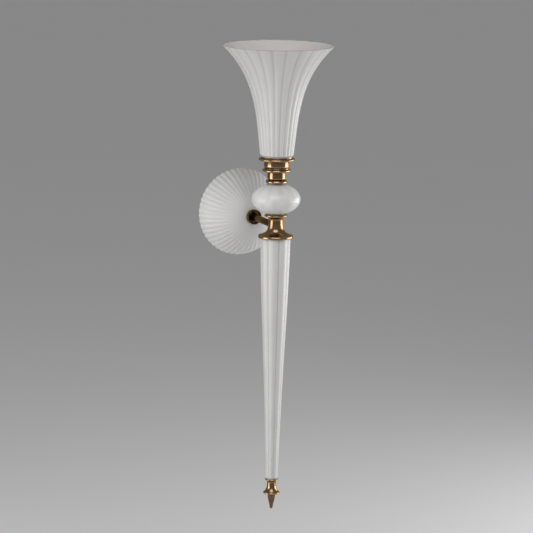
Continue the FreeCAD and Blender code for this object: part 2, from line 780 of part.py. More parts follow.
def stem_top():
    return stem_ceiling() - size["seal_thick"]


def stem_glass():
    """Long tapered opal glass stem with round flutes, hollow for the tie rod."""
    words = ("stem_end_radius", "stem_low_radius", "stem_mid_radius", "stem_high_radius", "stem_top_radius")
    long = number("stem_length")
    share = number("stem_flute_share")
    outer = []
    inner = []
    for step, word in enumerate(words):
        radius = number(word)
        height = long * step / (len(words) - 1)
        groove = radius * share
        outer.append(lobed_wire(radius, groove, count("stem_flutes"), height, number("stem_turn")))
        inner.append(round_wire(radius - groove - number("stem_wall"), height))
    glass = lofted(outer).cut(lofted(inner))
    return on_torch(code_shape("stem_glass", glass), stem_top() - size["stem_length"])


def stem_seals():
    """Soft rings between the bell and the stem and between the stem and the tip."""
    rod = size["rod_radius"] + size["hole_clear"]
    upper = ring("stem_seal", rod, size["stem_top_radius"] - size["seal_inset"], size["seal_thick"])
    on_torch(upper, stem_top())
    lower = ring("tip_seal", rod, size["stem_end_radius"] - size["seal_inset"], size["seal_thick"])
    on_torch(lower, stem_top() - size["stem_length"] - size["seal_thick"])
    return [upper, lower]


def tip_top():
    return stem_top() - size["stem_length"] - size["seal_thick"]


def tip_cup():
    """Turned brass spool under the stem."""
    rod = size["rod_radius"] + size["fit_clear"]
    high = size["tip_cup_high"]
    lip = size["tip_cup_radius"]
    foot = size["tip_foot_radius"]
    waist = high - size["tip_waist_drop"]
    neck = high - size["tip_cup_lip"]
    round_edge = size["flange_round"]
    outline = [
        (rod, 0),
        (foot - round_edge, 0),
        Bow(foot - round_edge, size["tip_foot_high"], -HALF_ROUND),
        Bow(size["tip_waist_radius"], waist, SOFT),
        Bow(lip - round_edge, neck, BOLD),
        Bow(lip - round_edge, high, -HALF_ROUND),
        (rod, high),
    ]
    return on_torch(turned("tip_cup", outline), tip_top() - high)


def spike_top():
    return tip_top() - size["tip_cup_high"]


def tip_spike():
    """Pointed brass finial, screwed on the rod: it pulls cup and stem up against the bell."""
    rod = size["rod_radius"] + size["fit_clear"]
    long = size["spike_long"]
    end = size["spike_end_radius"]
    ledge = size["spike_ledge"]
    outline = [
        (0, 0),
        Bow(end, end, -QUARTER),
        Bow(size["spike_mid_radius"], size["spike_mid_lift"], SLIGHT),
        Bow(size["spike_radius"] - ledge / 2, long - ledge, -SLIGHT),
        Bow(size["spike_radius"] - ledge / 2, long, -HALF_ROUND),
        (rod, long),
        (rod, long - size["spike_thread"]),
        (0, long - size["spike_thread"]),
    ]
    return on_torch(turned("tip_spike", outline), spike_top() - long)


def tie_rod():
    """Steel rod from the bell through the stem into the spike."""
    top = stem_ceiling() + size["bell_web"]
    foot = spike_top() - size["spike_thread"] + size["rod_end_gap"]
    radius = size["rod_radius"]
    rod = turned("tie_rod", [(0, 0), (radius, 0), (radius, top - foot), (0, top - foot)])
    return on_torch(rod, foot)


# ---------------------------------------------------------------- ball and column


def ball_seat_half():
    """Half the height between the ball's two ground seats."""
    share = size["ball_neck_radius"] / size["ball_radius"]
    return size["ball_half_high"] * (as_size(1) - share * share).root()


def ball_foot():
    return size["bell_above"] + size["seal_thick"]


def ball_glass():
    """Flattened opal glass ball, hollow, with a ground seat and a hole at each pole."""
    middle = ball_seat_half()
    hole = size["tube_radius"] + size["hole_clear"]
    skin = oval_side(size["ball_radius"], size["ball_half_high"], size["ball_neck_radius"], CROWN, middle)
    wide = size["ball_radius"] - size["ball_wall"]
    tall = size["ball_half_high"] - size["ball_wall"]
    hollow = oval_side(wide, tall, hole, SLIGHT, middle)
    outline = [(hole, NOTHING), *skin, (hole, middle * 2), *mirrored_way(hollow)]
    return on_torch(turned("ball_glass", outline), ball_foot())


def oval_side(wide, tall, start, crown, middle):
    """Right side of an oval drawn upwards in three arcs, which meet at four fifths of its half width."""
    share = start / wide
    pole = tall * (as_size(1) - share * share).root()
    shoulder = wide * SHOULDER_OUT
    lift = tall * SHOULDER_UP
    side = wide * (1 - SHOULDER_OUT) / (lift * 2)
    return [
        (start, middle - pole),
        Bow(shoulder, middle - lift, -crown),
        Bow(shoulder, middle + lift, -side),
        Bow(start, middle + pole, -crown),
    ]


def mirrored_way(steps):
    """The same arcs drawn the other way, from the last corner back to the first."""
    corners = [steps[0]] + [step.corner for step in steps[1:]]
    bows = [-step.bow for step in steps[1:]]
    back = [Bow(*corner, bow) for corner, bow in zip(corners[-2::-1], bows[::-1])]
    return [corners[-1], *back]


def ball_seals():
    tube = size["tube_radius"] + size["hole_clear"]
    seal = size["ball_neck_radius"] - size["seal_inset"]
    lower = ring("ball_lower_seal", tube, seal, size["seal_thick"])
    on_torch(lower, size["bell_above"])
    upper = ring("ball_upper_seal", tube, seal, size["seal_thick"])
    on_torch(upper, ball_foot() + ball_seat_half() * 2)
    return [lower, upper]


def column_foot():
    return ball_foot() + ball_seat_half() * 2 + size["seal_thick"]


def disc(name, radius, high, up):
    """A turned brass disc with a half-round edge."""
    tube = size["tube_radius"] + size["fit_clear"]
    edge = radius - high * DISC_EDGE
    outline = [(edge, 0), Bow(edge, high, -DISC_EDGE), (tube, high), (tube, 0)]
    return on_torch(turned(name, outline), up)


def bead(name, word, up):
    """A turned brass bead: a round belly low down, drawn in by a hollow to a narrower neck."""
    tube = size["tube_radius"] + size["fit_clear"]
    radius = size[f"{word}_radius"]
    neck = size[f"{word}_neck"]
    high = size[f"{word}_high"]
    belly = size[f"{word}_belly"]
    shoulder = belly + (high - belly) * BEAD_SHOULDER
    outline = [
        (radius - belly * BEAD_UNDERCUT, 0),
        Bow(radius, belly, -BOLD),
        Bow((radius + neck) / 2, shoulder, -SOFT),
        Bow(neck, high, SOFT),
        (tube, high),
        (tube, 0),
    ]
    return on_torch(turned(name, outline), up)


def gallery_dish():
    """Brass dish that carries the shade: a stepped underside and a rounded edge."""
    tube = size["tube_radius"] + size["fit_clear"]
    radius = size["dish_radius"]
    high = size["dish_high"]
    step = size["dish_step_high"]
    round_edge = size["flange_round"]
    outline = [
        (size["dish_step_radius"] - step, 0),
        Bow(size["dish_step_radius"], step, -QUARTER),
        (radius - round_edge, step),
        Bow(radius - round_edge, high, -HALF_ROUND),
        (tube, high),
        (tube, 0),
    ]
    return on_torch(turned("gallery_dish", outline), dish_foot())


def column_levels():
    """Undersides of the column's pieces, each on the one below it."""
    disc_up = column_foot()
    low_bead = disc_up + size["foot_disc_high"]
    mid_disc = low_bead + size["low_bead_high"]
    top_bead = mid_disc + size["mid_disc_high"]
    return disc_up, low_bead, mid_disc, top_bead


def dish_foot():
    return column_levels()[-1] + size["top_bead_high"]


def column():
    disc_up, low_bead, mid_disc, top_bead = column_levels()
    return [
        disc("column_foot_disc", size["foot_disc_radius"], size["foot_disc_high"], disc_up),
        bead("column_lower_bead", "low_bead", low_bead),
        disc("column_middle_disc", size["mid_disc_radius"], size["mid_disc_high"], mid_disc),
        bead("column_upper_bead", "top_bead", top_bead),
    ]


# ---------------------------------------------------------------- trumpet shade


def shade_foot():
    return dish_foot() + size["dish_high"] + size["seal_thick"]


def trumpet_radius(share):
    """Radius of the trumpet at a share of its height: a straight taper, and a flare near the rim."""
    foot = number("shade_foot_radius")
    taper = number("shade_taper")
    flare = number("shade_rim_radius") - foot - taper
    return foot + taper * share + flare * share ** number("shade_flare_power")


def trumpet_shade():
    """Flared shade of ribbed opal glass, open at the top, with a holed floor in its foot."""
    high = number("shade_high")
    wall = number("shade_wall")
    groove = number("shade_groove")
    outer = []
    inner = []
    for share in TRUMPET_STATIONS:
        radius = trumpet_radius(share)
        outer.append(lobed_wire(radius, groove, count("shade_ribs"), share * high, number("shade_turn")))
        inner.append(round_wire(radius - groove - wall, share * high))
    floor = number("shade_floor")
    foot_block = bore(number("shade_rim_radius"), -wall, floor)
    inside = lofted(inner).cut(foot_block)
    hole = bore(number("tube_radius") + number("hole_clear"), -wall, floor + wall)
    return on_torch(code_shape("trumpet_shade", lofted(outer).cut(inside).cut(hole)), shade_foot())


def shade_seal():
    groove_radius = size["shade_foot_radius"] - size["shade_groove"]
    seal = ring("shade_seal", size["tube_radius"] + size["hole_clear"], groove_radius - size["seal_inset"],
                size["seal_thick"])
    return on_torch(seal, dish_foot() + size["dish_high"])


def clamp_foot():
    return shade_foot() + size["shade_floor"]


def nut_foot():
    return clamp_foot() + size["clamp_thick"]


def shade_nut():
    """Hexagon nut that holds the whole torch together on its tube."""
    blank = doc.addObject("Part::Prism", "shade_nut_blank")
    blank.Polygon = HEX_SIDES
    blank.setExpression("Circumradius", size["nut_radius"].text)
    blank.setExpression("Height", size["nut_high"].text)
    hole = doc.addObject("Part::Cylinder", "shade_nut_hole")
    hole.setExpression("Radius", (size["tube_radius"] + size["fit_clear"]).text)
    hole.setExpression("Height", size["nut_high"].text)
    nut = doc.addObject("Part::Cut", "shade_nut")
    nut.Base = blank
    nut.Tool = hole
    return on_torch(nut, nut_foot())


def clamp_disc():
    plate = ring("shade_clamp_disc", size["tube_radius"] + size["fit_clear"], size["clamp_radius"],
                 size["clamp_thick"])
    return on_torch(plate, clamp_foot())


# ---------------------------------------------------------------- tube, lampholder and lamp


def holder_foot():
    return nut_foot() + size["nut_high"]


def holder_joint():
    return holder_foot() + size["holder_cap_high"]


def centre_tube():
    """Threaded tube from the bell up through the ball and the column into the lampholder."""
    foot = size["bell_above"] - size["tube_drop"]
    top = holder_foot() + size["tube_entry"]
    tube = ring("centre_tube", size["tube_bore_radius"], size["tube_radius"], top - foot)
    return on_torch(tube, foot)


def holder_cap():
    """Lower half of the lampholder: a cap with the entry for the tube in its floor."""
    tube = size["tube_radius"] + size["fit_clear"]
    outer = size["holder_radius"]
    wall = size["holder_cap_wall"]
    high = size["holder_cap_high"]
    neck = size["tube_entry"]
    corner = size["holder_corner"]
    outline = [
        (outer - corner, 0),
        Bow(outer, corner, -QUARTER),
        (outer, high),
        (outer - wall, high),
        (outer - wall, neck),
        (tube, neck),
        (tube, 0),
    ]
    return on_torch(turned("holder_cap", outline), holder_foot())


def holder_body():
    """Upper half of the lampholder: an insulating cup round the screw sleeve."""
    outer = size["holder_radius"]
    high = size["holder_body_high"]
    mouth = size["holder_mouth_radius"]
    floor = size["holder_floor"]
    lip = size["holder_lip"]
    outline = [(outer, 0), (outer, high - lip), Bow(outer - lip, high, -QUARTER), (mouth, high),
               (mouth, floor), (0, floor), (0, 0)]
    return on_torch(turned("holder_body", outline), holder_joint())


def sleeve_inner():
    return size["lamp_cap_radius"] + size["lamp_fit"]


def screw_sleeve():
    """Brass sleeve that takes the lamp's thread, with a flange on the holder's floor."""
    inner = sleeve_inner()
    outer = inner + size["sleeve_wall"]
    flange = size["holder_mouth_radius"] - size["fit_clear"]
    thick = size["sleeve_wall"] * 2
    high = size["sleeve_high"]
    outline = [(inner, 0), (flange, 0), (flange, thick), (outer, thick), (outer, high), (inner, high)]
    return on_torch(turned("screw_sleeve", outline), holder_joint() + size["holder_floor"])


def centre_contact():
    """Bent strip of spring brass on the holder's floor, under the lamp's button."""
    half = size["contact_long"] / 2
    thick = size["contact_thick"]
    rise = size["contact_rise"]
    button = size["lamp_button_radius"]
    body = new_body("centre_contact")
    sketch = new_sketch(body, "XZ_Plane")
    draw_outline(sketch, [(-half, 0), (-button, 0), (-button / 2, rise - thick), (button / 2, rise - thick),
                          (button, 0), (half, 0), (half, thick), (button, thick), (button / 2, rise),
                          (-button / 2, rise), (-button, thick), (-half, thick)])
    pad = body.newObject("PartDesign::Pad", "centre_contact_pad")
    pad.Profile = sketch
    pad.setExpression("Length", size["contact_wide"].text)
    pad.Midplane = True
    return on_torch(body, holder_joint() + size["holder_floor"])


def lamp_foot():
    """Underside of the lamp's contact button, just on the spring contact."""
    return holder_joint() + size["holder_floor"] + size["contact_rise"] + size["fit_clear"]


def lamp_base_foot():
    return lamp_foot() + size["lamp_button_high"]


def lamp_cap_foot():
    return lamp_base_foot() + size["lamp_base_high"]


def lamp_button():
    radius = size["lamp_button_radius"]
    high = size["lamp_button_high"]
    outline = [(0, 0), Bow(radius, high, -SOFT), (0, high)]
    return on_torch(turned("lamp_button", outline), lamp_foot())


def lamp_base():
    """Black glass insulator between the button and the cap."""
    cap = size["lamp_cap_radius"] - size["lamp_cap_wall"]
    outline = [(0, 0), (size["lamp_base_radius"], 0), (cap, size["lamp_base_high"]),
               (0, size["lamp_base_high"])]
    return on_torch(turned("lamp_base", outline), lamp_base_foot())


def lamp_cap():
    """Metal screw cap of the lamp; its thread is smooth here and runs with a clearance."""
    return on_torch(ring("lamp_cap", size["lamp_cap_radius"] - size["lamp_cap_wall"],
                         size["lamp_cap_radius"], size["lamp_cap_high"]), lamp_cap_foot())


def lamp_bulb_foot():
    return lamp_cap_foot() + size["lamp_cap_high"]


def bulb_neck():
    return size["lamp_cap_radius"] + size["lamp_cap_wall"]


def lamp_bulb():
    """Candle-shaped glass envelope, hollow, its neck standing on the lamp's cap."""
    wall = size["lamp_glass_wall"]
    low = size["lamp_bulb_belly"]
    top = size["lamp_bulb_high"]
    tip = size["lamp_tip_radius"]
    outline = [
        (bulb_neck(), 0),
        Bow(size["lamp_bulb_radius"], low, -GENTLE),
        Bow(tip, top - tip, -GENTLE),
        Bow(0, top, -QUARTER),
        (0, top - wall),
        Bow(tip - wall, top - tip, QUARTER),
        Bow(size["lamp_bulb_radius"] - wall, low, GENTLE),
        Bow(bulb_neck() - wall, 0, GENTLE),
    ]
    return on_torch(turned("lamp_bulb", outline), lamp_bulb_foot())


def lamp_stalk():
    """Glass stalk inside the envelope: its flared foot closes the neck."""
    flare = bulb_neck() - size["lamp_glass_wall"] - size["fit_clear"]
    radius = size["lamp_stalk_radius"]
    high = size["lamp_stalk_high"]
    rim = size["lamp_flare_rim"]
    outline = [(flare, 0), (flare, rim), Bow(radius, rim + flare - radius, QUARTER), (radius, high),
               (0, high), (0, 0)]
    return on_torch(turned("lamp_stalk", outline), lamp_bulb_foot())


def lamp_rods():
    """Light rods about the stalk, each held off it by a bent wire at its foot."""
    total = count("filament_count")
    foot = number("lamp_stalk_high") / 2
    circle = number("filament_circle")
    wire = number("filament_wire_radius")
    near = number("lamp_stalk_radius") + number("fit_clear")
    rods = []
    for turn in range(total):
        rod = bore(number("filament_radius"), foot, foot + number("filament_long"))
        rod.translate(FreeCAD.Vector(circle, 0, 0))
        lead_start = FreeCAD.Vector(near, 0, foot + number("filament_wire_lift"))
        lead = Part.makeCylinder(wire, circle - near, lead_start, FreeCAD.Vector(1, 0, 0))
        rod = rod.fuse(lead)
        rod.rotate(FreeCAD.Vector(), FreeCAD.Vector(0, 0, 1), 360 * turn / total)
        rods.append(rod)
    return on_torch(code_shape("lamp_rods", Part.makeCompound(rods)), lamp_bulb_foot())


# ---------------------------------------------------------------- assembly, checks and files


def everything():
    pieces = [wall_plate(), arm_boss(), boss_screws(), terminal_block(), terminal_screws()]
    pieces += earth_parts()
    pieces += [arm_tube(), glass_rosette(), rosette_seal(), rosette_cup(), cup_grub_screw()]
    pieces += [bell_body(), stem_glass()]
    pieces += stem_seals()
    pieces += [tip_cup(), tip_spike(), tie_rod()]
    pieces += [ball_glass()]
    pieces += ball_seals()
    pieces += column()
    pieces += [gallery_dish(), shade_seal(), trumpet_shade(), clamp_disc(), shade_nut(), centre_tube()]
    pieces += [holder_cap(), holder_body(), screw_sleeve(), centre_contact()]
    pieces += [lamp_button(), lamp_base(), lamp_cap(), lamp_bulb(), lamp_stalk(), lamp_rods()]
    return pieces


def check_all(pieces):
    """Stops if any object failed, or if a piece is empty, broken or not made of solids."""
    for thing in doc.Objects:
        if "Invalid" in thing.State or "Error" in thing.State:
            raise RuntimeError(f"{thing.Label} failed: {thing.State}")
    for piece in pieces:
        shape = piece.Shape
        if shape.isNull() or not shape.isValid() or not shape.Solids:
            raise RuntimeError(f"{piece.Label} is not a valid solid")


def write_all(pieces):
    os.makedirs("parts", exist_ok=True)
    for piece in pieces:
        piece.Shape.exportStep(f"parts/{piece.Label}.step")
        box = piece.Shape.BoundBox
        print(f"{piece.Label}: {len(piece.Shape.Solids)} solid(s), z {box.ZMin:.1f} to {box.ZMax:.1f}")


pieces = everything()
doc.recompute()
check_all(pieces)
write_all(pieces)
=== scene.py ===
# %% [markdown]
# # A torch-shaped wall light in ribbed opal glass and turned brass
#
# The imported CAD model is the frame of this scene: it says where every piece is. Here the pieces that show
# get their finer forms and all of them get their finish. Everything is in metres, in the CAD's own frame:
# the wall is the plane Y = 0, the room lies towards -Y, and +Z is up.

import json
import math

import bmesh
import bpy
from mathutils import Euler, Matrix, Vector

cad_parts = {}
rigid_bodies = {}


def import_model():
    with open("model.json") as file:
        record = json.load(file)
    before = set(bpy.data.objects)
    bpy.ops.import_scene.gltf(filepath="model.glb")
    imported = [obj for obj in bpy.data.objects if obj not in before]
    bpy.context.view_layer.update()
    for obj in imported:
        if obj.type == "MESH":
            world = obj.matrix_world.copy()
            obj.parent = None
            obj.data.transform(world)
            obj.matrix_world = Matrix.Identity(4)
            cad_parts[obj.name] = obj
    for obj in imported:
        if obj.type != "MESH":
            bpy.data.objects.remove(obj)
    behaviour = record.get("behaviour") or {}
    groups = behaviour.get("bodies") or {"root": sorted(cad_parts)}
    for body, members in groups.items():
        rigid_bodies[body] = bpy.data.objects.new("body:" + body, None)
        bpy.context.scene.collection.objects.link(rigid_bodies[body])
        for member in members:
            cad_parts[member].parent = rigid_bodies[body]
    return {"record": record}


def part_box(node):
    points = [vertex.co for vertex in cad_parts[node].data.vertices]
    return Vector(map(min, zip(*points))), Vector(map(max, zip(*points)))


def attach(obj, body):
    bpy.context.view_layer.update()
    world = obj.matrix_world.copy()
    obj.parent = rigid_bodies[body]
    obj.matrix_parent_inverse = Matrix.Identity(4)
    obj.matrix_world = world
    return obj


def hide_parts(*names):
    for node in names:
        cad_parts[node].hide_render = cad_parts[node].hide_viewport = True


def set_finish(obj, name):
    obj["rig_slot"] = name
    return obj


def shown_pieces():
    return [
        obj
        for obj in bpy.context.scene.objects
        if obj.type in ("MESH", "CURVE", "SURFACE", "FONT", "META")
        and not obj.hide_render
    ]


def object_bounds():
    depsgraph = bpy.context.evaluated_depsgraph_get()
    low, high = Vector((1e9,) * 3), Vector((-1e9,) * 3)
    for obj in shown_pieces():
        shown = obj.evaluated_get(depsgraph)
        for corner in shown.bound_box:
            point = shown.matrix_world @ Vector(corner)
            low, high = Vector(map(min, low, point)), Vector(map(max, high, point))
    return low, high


bpy.ops.object.select_all(action="SELECT")
bpy.ops.object.delete()
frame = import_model()
cad_low, cad_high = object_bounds()
print("CAD box in metres:", [round(value, 4) for value in (*cad_low, *cad_high)])

# %% [markdown]
# ## Where the torch stands
#
# Every piece of the torch is turned or blown about one upright axis, and the rosette, its cup and the arm
# share a second, level axis that comes out of the wall. Both axes are read from the frame, so that the
# pieces follow the CAD if its sizes change. Outlines are written in millimetres, as on a workshop drawing.

# %% The two axes
MM = 0.001
stem_low, stem_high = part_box("stem_glass")
TORCH = Vector(((stem_low.x + stem_high.x) / 2, (stem_low.y + stem_high.y) / 2, 0))
WALL_TURN = Euler((math.pi / 2, 0, 0))


def foot_of(node):
    """Height of a piece's foot over the arm's axis, in millimetres."""
    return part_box(node)[0].z / MM


def height_of(node):
    low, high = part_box(node)
    return (high.z - low.z) / MM


def radius_of(node):
    low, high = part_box(node)
    return (high.x - low.x) / 2 / MM


print("torch axis:", [round(value, 4) for value in TORCH], "stem", round(height_of("stem_glass"), 1), "mm long")

# %% [markdown]
# ## Outlines of turned work
#
# A turner thinks in half a section: corners, and round stretches between them. An outline here is a list of
# corners (radius, height); a third number bends the stretch that leads to the corner. It is the height of
# the bow over its chord, as a part of the chord, and on the outside of a piece, drawn upwards, a bow above
# zero is a hollow and one below zero swells. Arcs are worked out, so no long list of points is needed.

# %% Outline helpers
QUARTER = (math.sqrt(2) - 1) / 2
HALF_ROUND = 0.45
ARC_STEP = math.radians(15)


def along_arc(start, end, bow):
    """Points after the start, up to the end, on an arc with that bow."""
    start, end = Vector(start), Vector(end)
    chord = end - start
    rise = abs(bow) * chord.length
    half = chord.length / 2
    radius = (half ** 2 + rise ** 2) / (2 * rise)
    sweep = 4 * math.atan2(rise, half)
    along = chord.normalized()
    left = Vector((-along.y, along.x)) * math.copysign(1, bow)
    centre = (start + end) / 2 + left * (rise - radius)
    steps = max(2, math.ceil(sweep / ARC_STEP))
    angles = [sweep * (turn / steps - 0.5) for turn in range(1, steps + 1)]
    return [centre + left * radius * math.cos(a) + along * radius * math.sin(a) for a in angles]


def outline(*corners):
    """Turns corners and bows into plain points."""
    points = [Vector(corners[0][:2])]
    for corner in corners[1:]:
        if len(corner) == 3:
            points += along_arc(points[-1], corner[:2], corner[2])
        else:
            points.append(Vector(corner))
    return points


print("a half-round edge takes", len(along_arc((10, 0), (10, 4), -HALF_ROUND)), "points")

# %% [markdown]
# ## Raising a ring
#
# Glass is blown and brass is turned, and both come out round. So each piece starts as one circle. The
# circle is extruded from corner to corner of the outline and scaled to each corner's radius, which is how
# one would draw up a vase by hand. Ribbed glass is drawn up in the same way. Its circle has a few vertices
# for each rib, and the ones between two ribs are drawn in by a groove's depth at every step.

# %% The ring raiser
GROOVE_SHARPNESS = 1.7
RING_WELD = 0.000002
SAME_DEPTH = 1e-6


def last_ring(edit, around):
    edit.verts.ensure_lookup_table()
    return edit.verts[-around:]


def pick(edit, vertices):
    """Selects just these vertices, with the edges between them."""
    for vertex in edit.verts:
        vertex.select = False
    for edge in edit.edges:
        edge.select = False
    for face in edit.faces:
        face.select = False
    for vertex in vertices:
        vertex.select = True
    edit.select_flush_mode()
    edit.select_flush(True)


def scale_ring(factor, centre):
    bpy.ops.transform.resize(value=(factor, factor, 1), center_override=centre)


def draw_in(piece, around, ribs, turn, before, after, centre):
    """Draws the last ring's grooves in from one depth to another, both as parts of the radius."""
    per_rib = around // ribs
    for step in range(per_rib // 2):
        dip = (1 - 2 * step / per_rib) ** GROOVE_SHARPNESS
        edit = bmesh.from_edit_mesh(piece.data)
        chosen = []
        for vertex in last_ring(edit, around):
            angle = math.degrees(math.atan2(vertex.co.y, vertex.co.x)) - turn
            place = round(angle / 360 * around) % per_rib
            if min(place, per_rib - place) == step:
                chosen.append(vertex)
        pick(edit, chosen)
        scale_ring((1 - after * dip) / (1 - before * dip), centre)
    edit = bmesh.from_edit_mesh(piece.data)
    pick(edit, last_ring(edit, around))


def raise_ring(name, points, foot, around=128, ribs=0, turn=0.0, groove=None, axis=None, closed=True):
    """Draws a circle up through an outline's points. groove(number) is the groove's depth, in millimetres."""
    axis = TORCH if axis is None else axis
    points = list(points) + ([points[0]] if closed else [])
    depths = [groove(number % (len(points) - closed)) if groove else 0 for number in range(len(points))]
    bpy.ops.object.select_all(action="DESELECT")
    first = points[0]
    place = axis + Vector((0, 0, (foot + first.y) * MM))
    bpy.ops.mesh.primitive_circle_add(vertices=around, radius=first.x * MM, fill_type="NOTHING", location=place)
    piece = bpy.context.object
    piece.name = name
    piece.data.name = name
    bpy.ops.object.mode_set(mode="EDIT")
    bpy.ops.mesh.select_mode(type="VERT")
    bpy.ops.mesh.select_all(action="SELECT")
    if turn:
        bpy.ops.transform.rotate(value=-math.radians(turn), orient_axis="Z", center_override=place)
    shares = [depth / point.x if point.x else 0 for depth, point in zip(depths, points)]
    if ribs:
        draw_in(piece, around, ribs, turn, 0, shares[0], place)
    for number in range(1, len(points)):
        before, point = points[number - 1], points[number]
        bpy.ops.mesh.extrude_edges_move(TRANSFORM_OT_translate={"value": (0, 0, (point.y - before.y) * MM)})
        centre = axis + Vector((0, 0, (foot + point.y) * MM))
        scale_ring(point.x / before.x, centre)
        if ribs and abs(shares[number] - shares[number - 1]) > SAME_DEPTH:
            draw_in(piece, around, ribs, turn, shares[number - 1], shares[number], centre)
    bpy.ops.mesh.select_all(action="SELECT")
    bpy.ops.mesh.remove_doubles(threshold=RING_WELD)
    if not closed:
        bpy.ops.mesh.fill_holes(sides=0)
    bpy.ops.mesh.normals_make_consistent(inside=False)
    bpy.ops.object.mode_set(mode="OBJECT")
    return piece


# %% [markdown]
# ## Finishing a piece
#
# Fine rounded edges catch the light, so they are cut with a Bevel modifier, and blown glass is smoothed by
# one level of Subdivision Surface. Modifiers are applied and the object is set back to the origin, unturned,
# with its place in its mesh, because that is how the frame's own pieces are kept.

# %% Finishing helpers
BEVEL_OVER = math.radians(32)
PIECE_WELD = 0.000004


def apply_modifier(piece, kind, **settings):
    modifier = piece.modifiers.new(kind.lower(), kind)
    for word, value in settings.items():
        setattr(modifier, word, value)
    bpy.ops.object.modifier_apply(modifier=modifier.name)


def soften_edges(piece, width, segments=2):
    apply_modifier(piece, "BEVEL", width=width * MM, segments=segments, limit_method="ANGLE",
                   angle_limit=BEVEL_OVER, use_clamp_overlap=True, harden_normals=False)


def smooth_glass(piece):
    apply_modifier(piece, "SUBSURF", levels=1, render_levels=1)


def drill_hole(piece, radius, depth, place, around):
    """Cuts a round hole, level and square to the wall, with a cylinder round that place."""
    bpy.ops.object.select_all(action="DESELECT")
    bpy.ops.mesh.primitive_cylinder_add(vertices=around, radius=radius * MM, depth=depth * MM, location=place,
                                        rotation=WALL_TURN)
    drill = bpy.context.object
    bpy.context.view_layer.objects.active = piece
    apply_modifier(piece, "BOOLEAN", object=drill, operation="DIFFERENCE", solver="EXACT")
    bpy.data.objects.remove(drill)


def settle(piece, node, body="root", smooth=40, turn=None):
    """Puts a finished piece in the frame: it rides on its body and stands for its CAD node."""
    bpy.ops.object.select_all(action="DESELECT")
    piece.select_set(True)
    bpy.context.view_layer.objects.active = piece
    bpy.ops.object.transform_apply(location=True, rotation=True, scale=True)
    if turn is not None:
        piece.rotation_euler = turn
        bpy.ops.object.transform_apply(location=True, rotation=True, scale=True)
    bpy.ops.object.mode_set(mode="EDIT")
    bpy.ops.mesh.select_all(action="SELECT")
    bpy.ops.mesh.remove_doubles(threshold=PIECE_WELD)
    bpy.ops.object.mode_set(mode="OBJECT")
    bpy.ops.object.shade_smooth_by_angle(angle=math.radians(smooth))
    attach(piece, body)
    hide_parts(node)
    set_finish(piece, slot_of[node])
    triangles = sum(len(face.vertices) - 2 for face in piece.data.polygons)
    print(f"{piece.name}: {triangles} triangles")


def turn_piece(name, node, points, edge=0.2, **ring):
    """A turned piece of the torch: it is raised, its edges are softened and it is settled."""
    piece = raise_ring(name, points, foot_of(node), **ring)
    soften_edges(piece, edge)
    settle(piece, node)


slot_of = {entry["node"]: entry["material_slot"] for entry in frame["record"]["subparts"]}
print(len(slot_of), "pieces in the record")

# %% [markdown]
# ## The trumpet shade
#
# The shade is the hardest piece: opal glass blown into a mould with 24 ribs, then opened into a wide flare.
# It rises almost straight and bends outwards ever faster towards a thin rim. One formula gives that line:
# a straight taper, and a flare that grows with a power of the height. The wall thins towards the rim.

# %% Trumpet shade
SHADE_RIBS = 24
SHADE_TURN = 1.5
SHADE_FOOT_RADIUS = 29.2
SHADE_TAPER = 19.0
SHADE_FLARE_POWER = 3.7
SHADE_FLOOR = 5.0
SHADE_WALL = 3.7
SHADE_RIM_WALL = 1.6
SHADE_GROOVE = 1.15
SHADE_INNER_GROOVE = 0.23
SHADE_STEPS = 26
SHADE_FIRST_LEVEL = 0.04
SHADE_LEVELS = 0.955
SHADE_FOOT_ROUND = 3
SHADE_LIP = 1.4
TUBE_HOLE = 5.6
shade_high = height_of("trumpet_shade")
shade_rim = radius_of("trumpet_shade") + SHADE_LIP


def trumpet_radius(share):
    flare = shade_rim - SHADE_FOOT_RADIUS - SHADE_TAPER
    return SHADE_FOOT_RADIUS + SHADE_TAPER * share + flare * share ** SHADE_FLARE_POWER


def trumpet_wall(share):
    return SHADE_WALL + (SHADE_RIM_WALL - SHADE_WALL) * share ** 2


levels = [SHADE_FIRST_LEVEL + SHADE_LEVELS * math.sin(step / SHADE_STEPS * math.pi / 2)
          for step in range(1, SHADE_STEPS + 1)]
outside = [Vector((trumpet_radius(level), level * shade_high)) for level in levels]
inside = [Vector((trumpet_radius(level) - trumpet_wall(level), level * shade_high)) for level in levels[::-1]]
foot_corner = outline((TUBE_HOLE, 0), (SHADE_FOOT_RADIUS - SHADE_FOOT_ROUND, 0),
                      (SHADE_FOOT_RADIUS, 2.4, -QUARTER))
lip = along_arc(outside[-1], inside[0], -HALF_ROUND)[:-1]
shade_floor = [Vector((SHADE_FOOT_RADIUS - SHADE_WALL - 1.5, SHADE_FLOOR)), Vector((TUBE_HOLE, SHADE_FLOOR))]
shade_points = foot_corner + outside + lip + inside + shade_floor
first_rib = len(foot_corner) - 2
last_outside = len(foot_corner) + len(outside) + len(lip)


def shade_groove(number):
    if number < first_rib or number >= len(shade_points) - len(shade_floor):
        return 0
    return SHADE_GROOVE if number < last_outside else SHADE_INNER_GROOVE


shade = raise_ring("blown_trumpet", shade_points, foot_of("trumpet_shade"), around=SHADE_RIBS * 8,
                   ribs=SHADE_RIBS, turn=SHADE_TURN, groove=shade_groove)
smooth_glass(shade)
settle(shade, "trumpet_shade", smooth=60)

# %% [markdown]
# ## The glass stem
#
# The stem is drawn out long and thin, so its eight broad flutes get shallower with its radius. Its outside
# is a slow curve through five radii; the ends are ground flat, with a small melted corner.

# %% Glass stem
STEM_FLUTES = 8
STEM_TURN = -7.3
STEM_RADII = (10.7, 13.9, 18.3, 23.2, 26.4)
STEM_WALL = 5.0
STEM_GROOVE_SHARE = 0.07
STEM_STEPS = 24
STEM_CORNER = 1.2
stem_long = height_of("stem_glass")


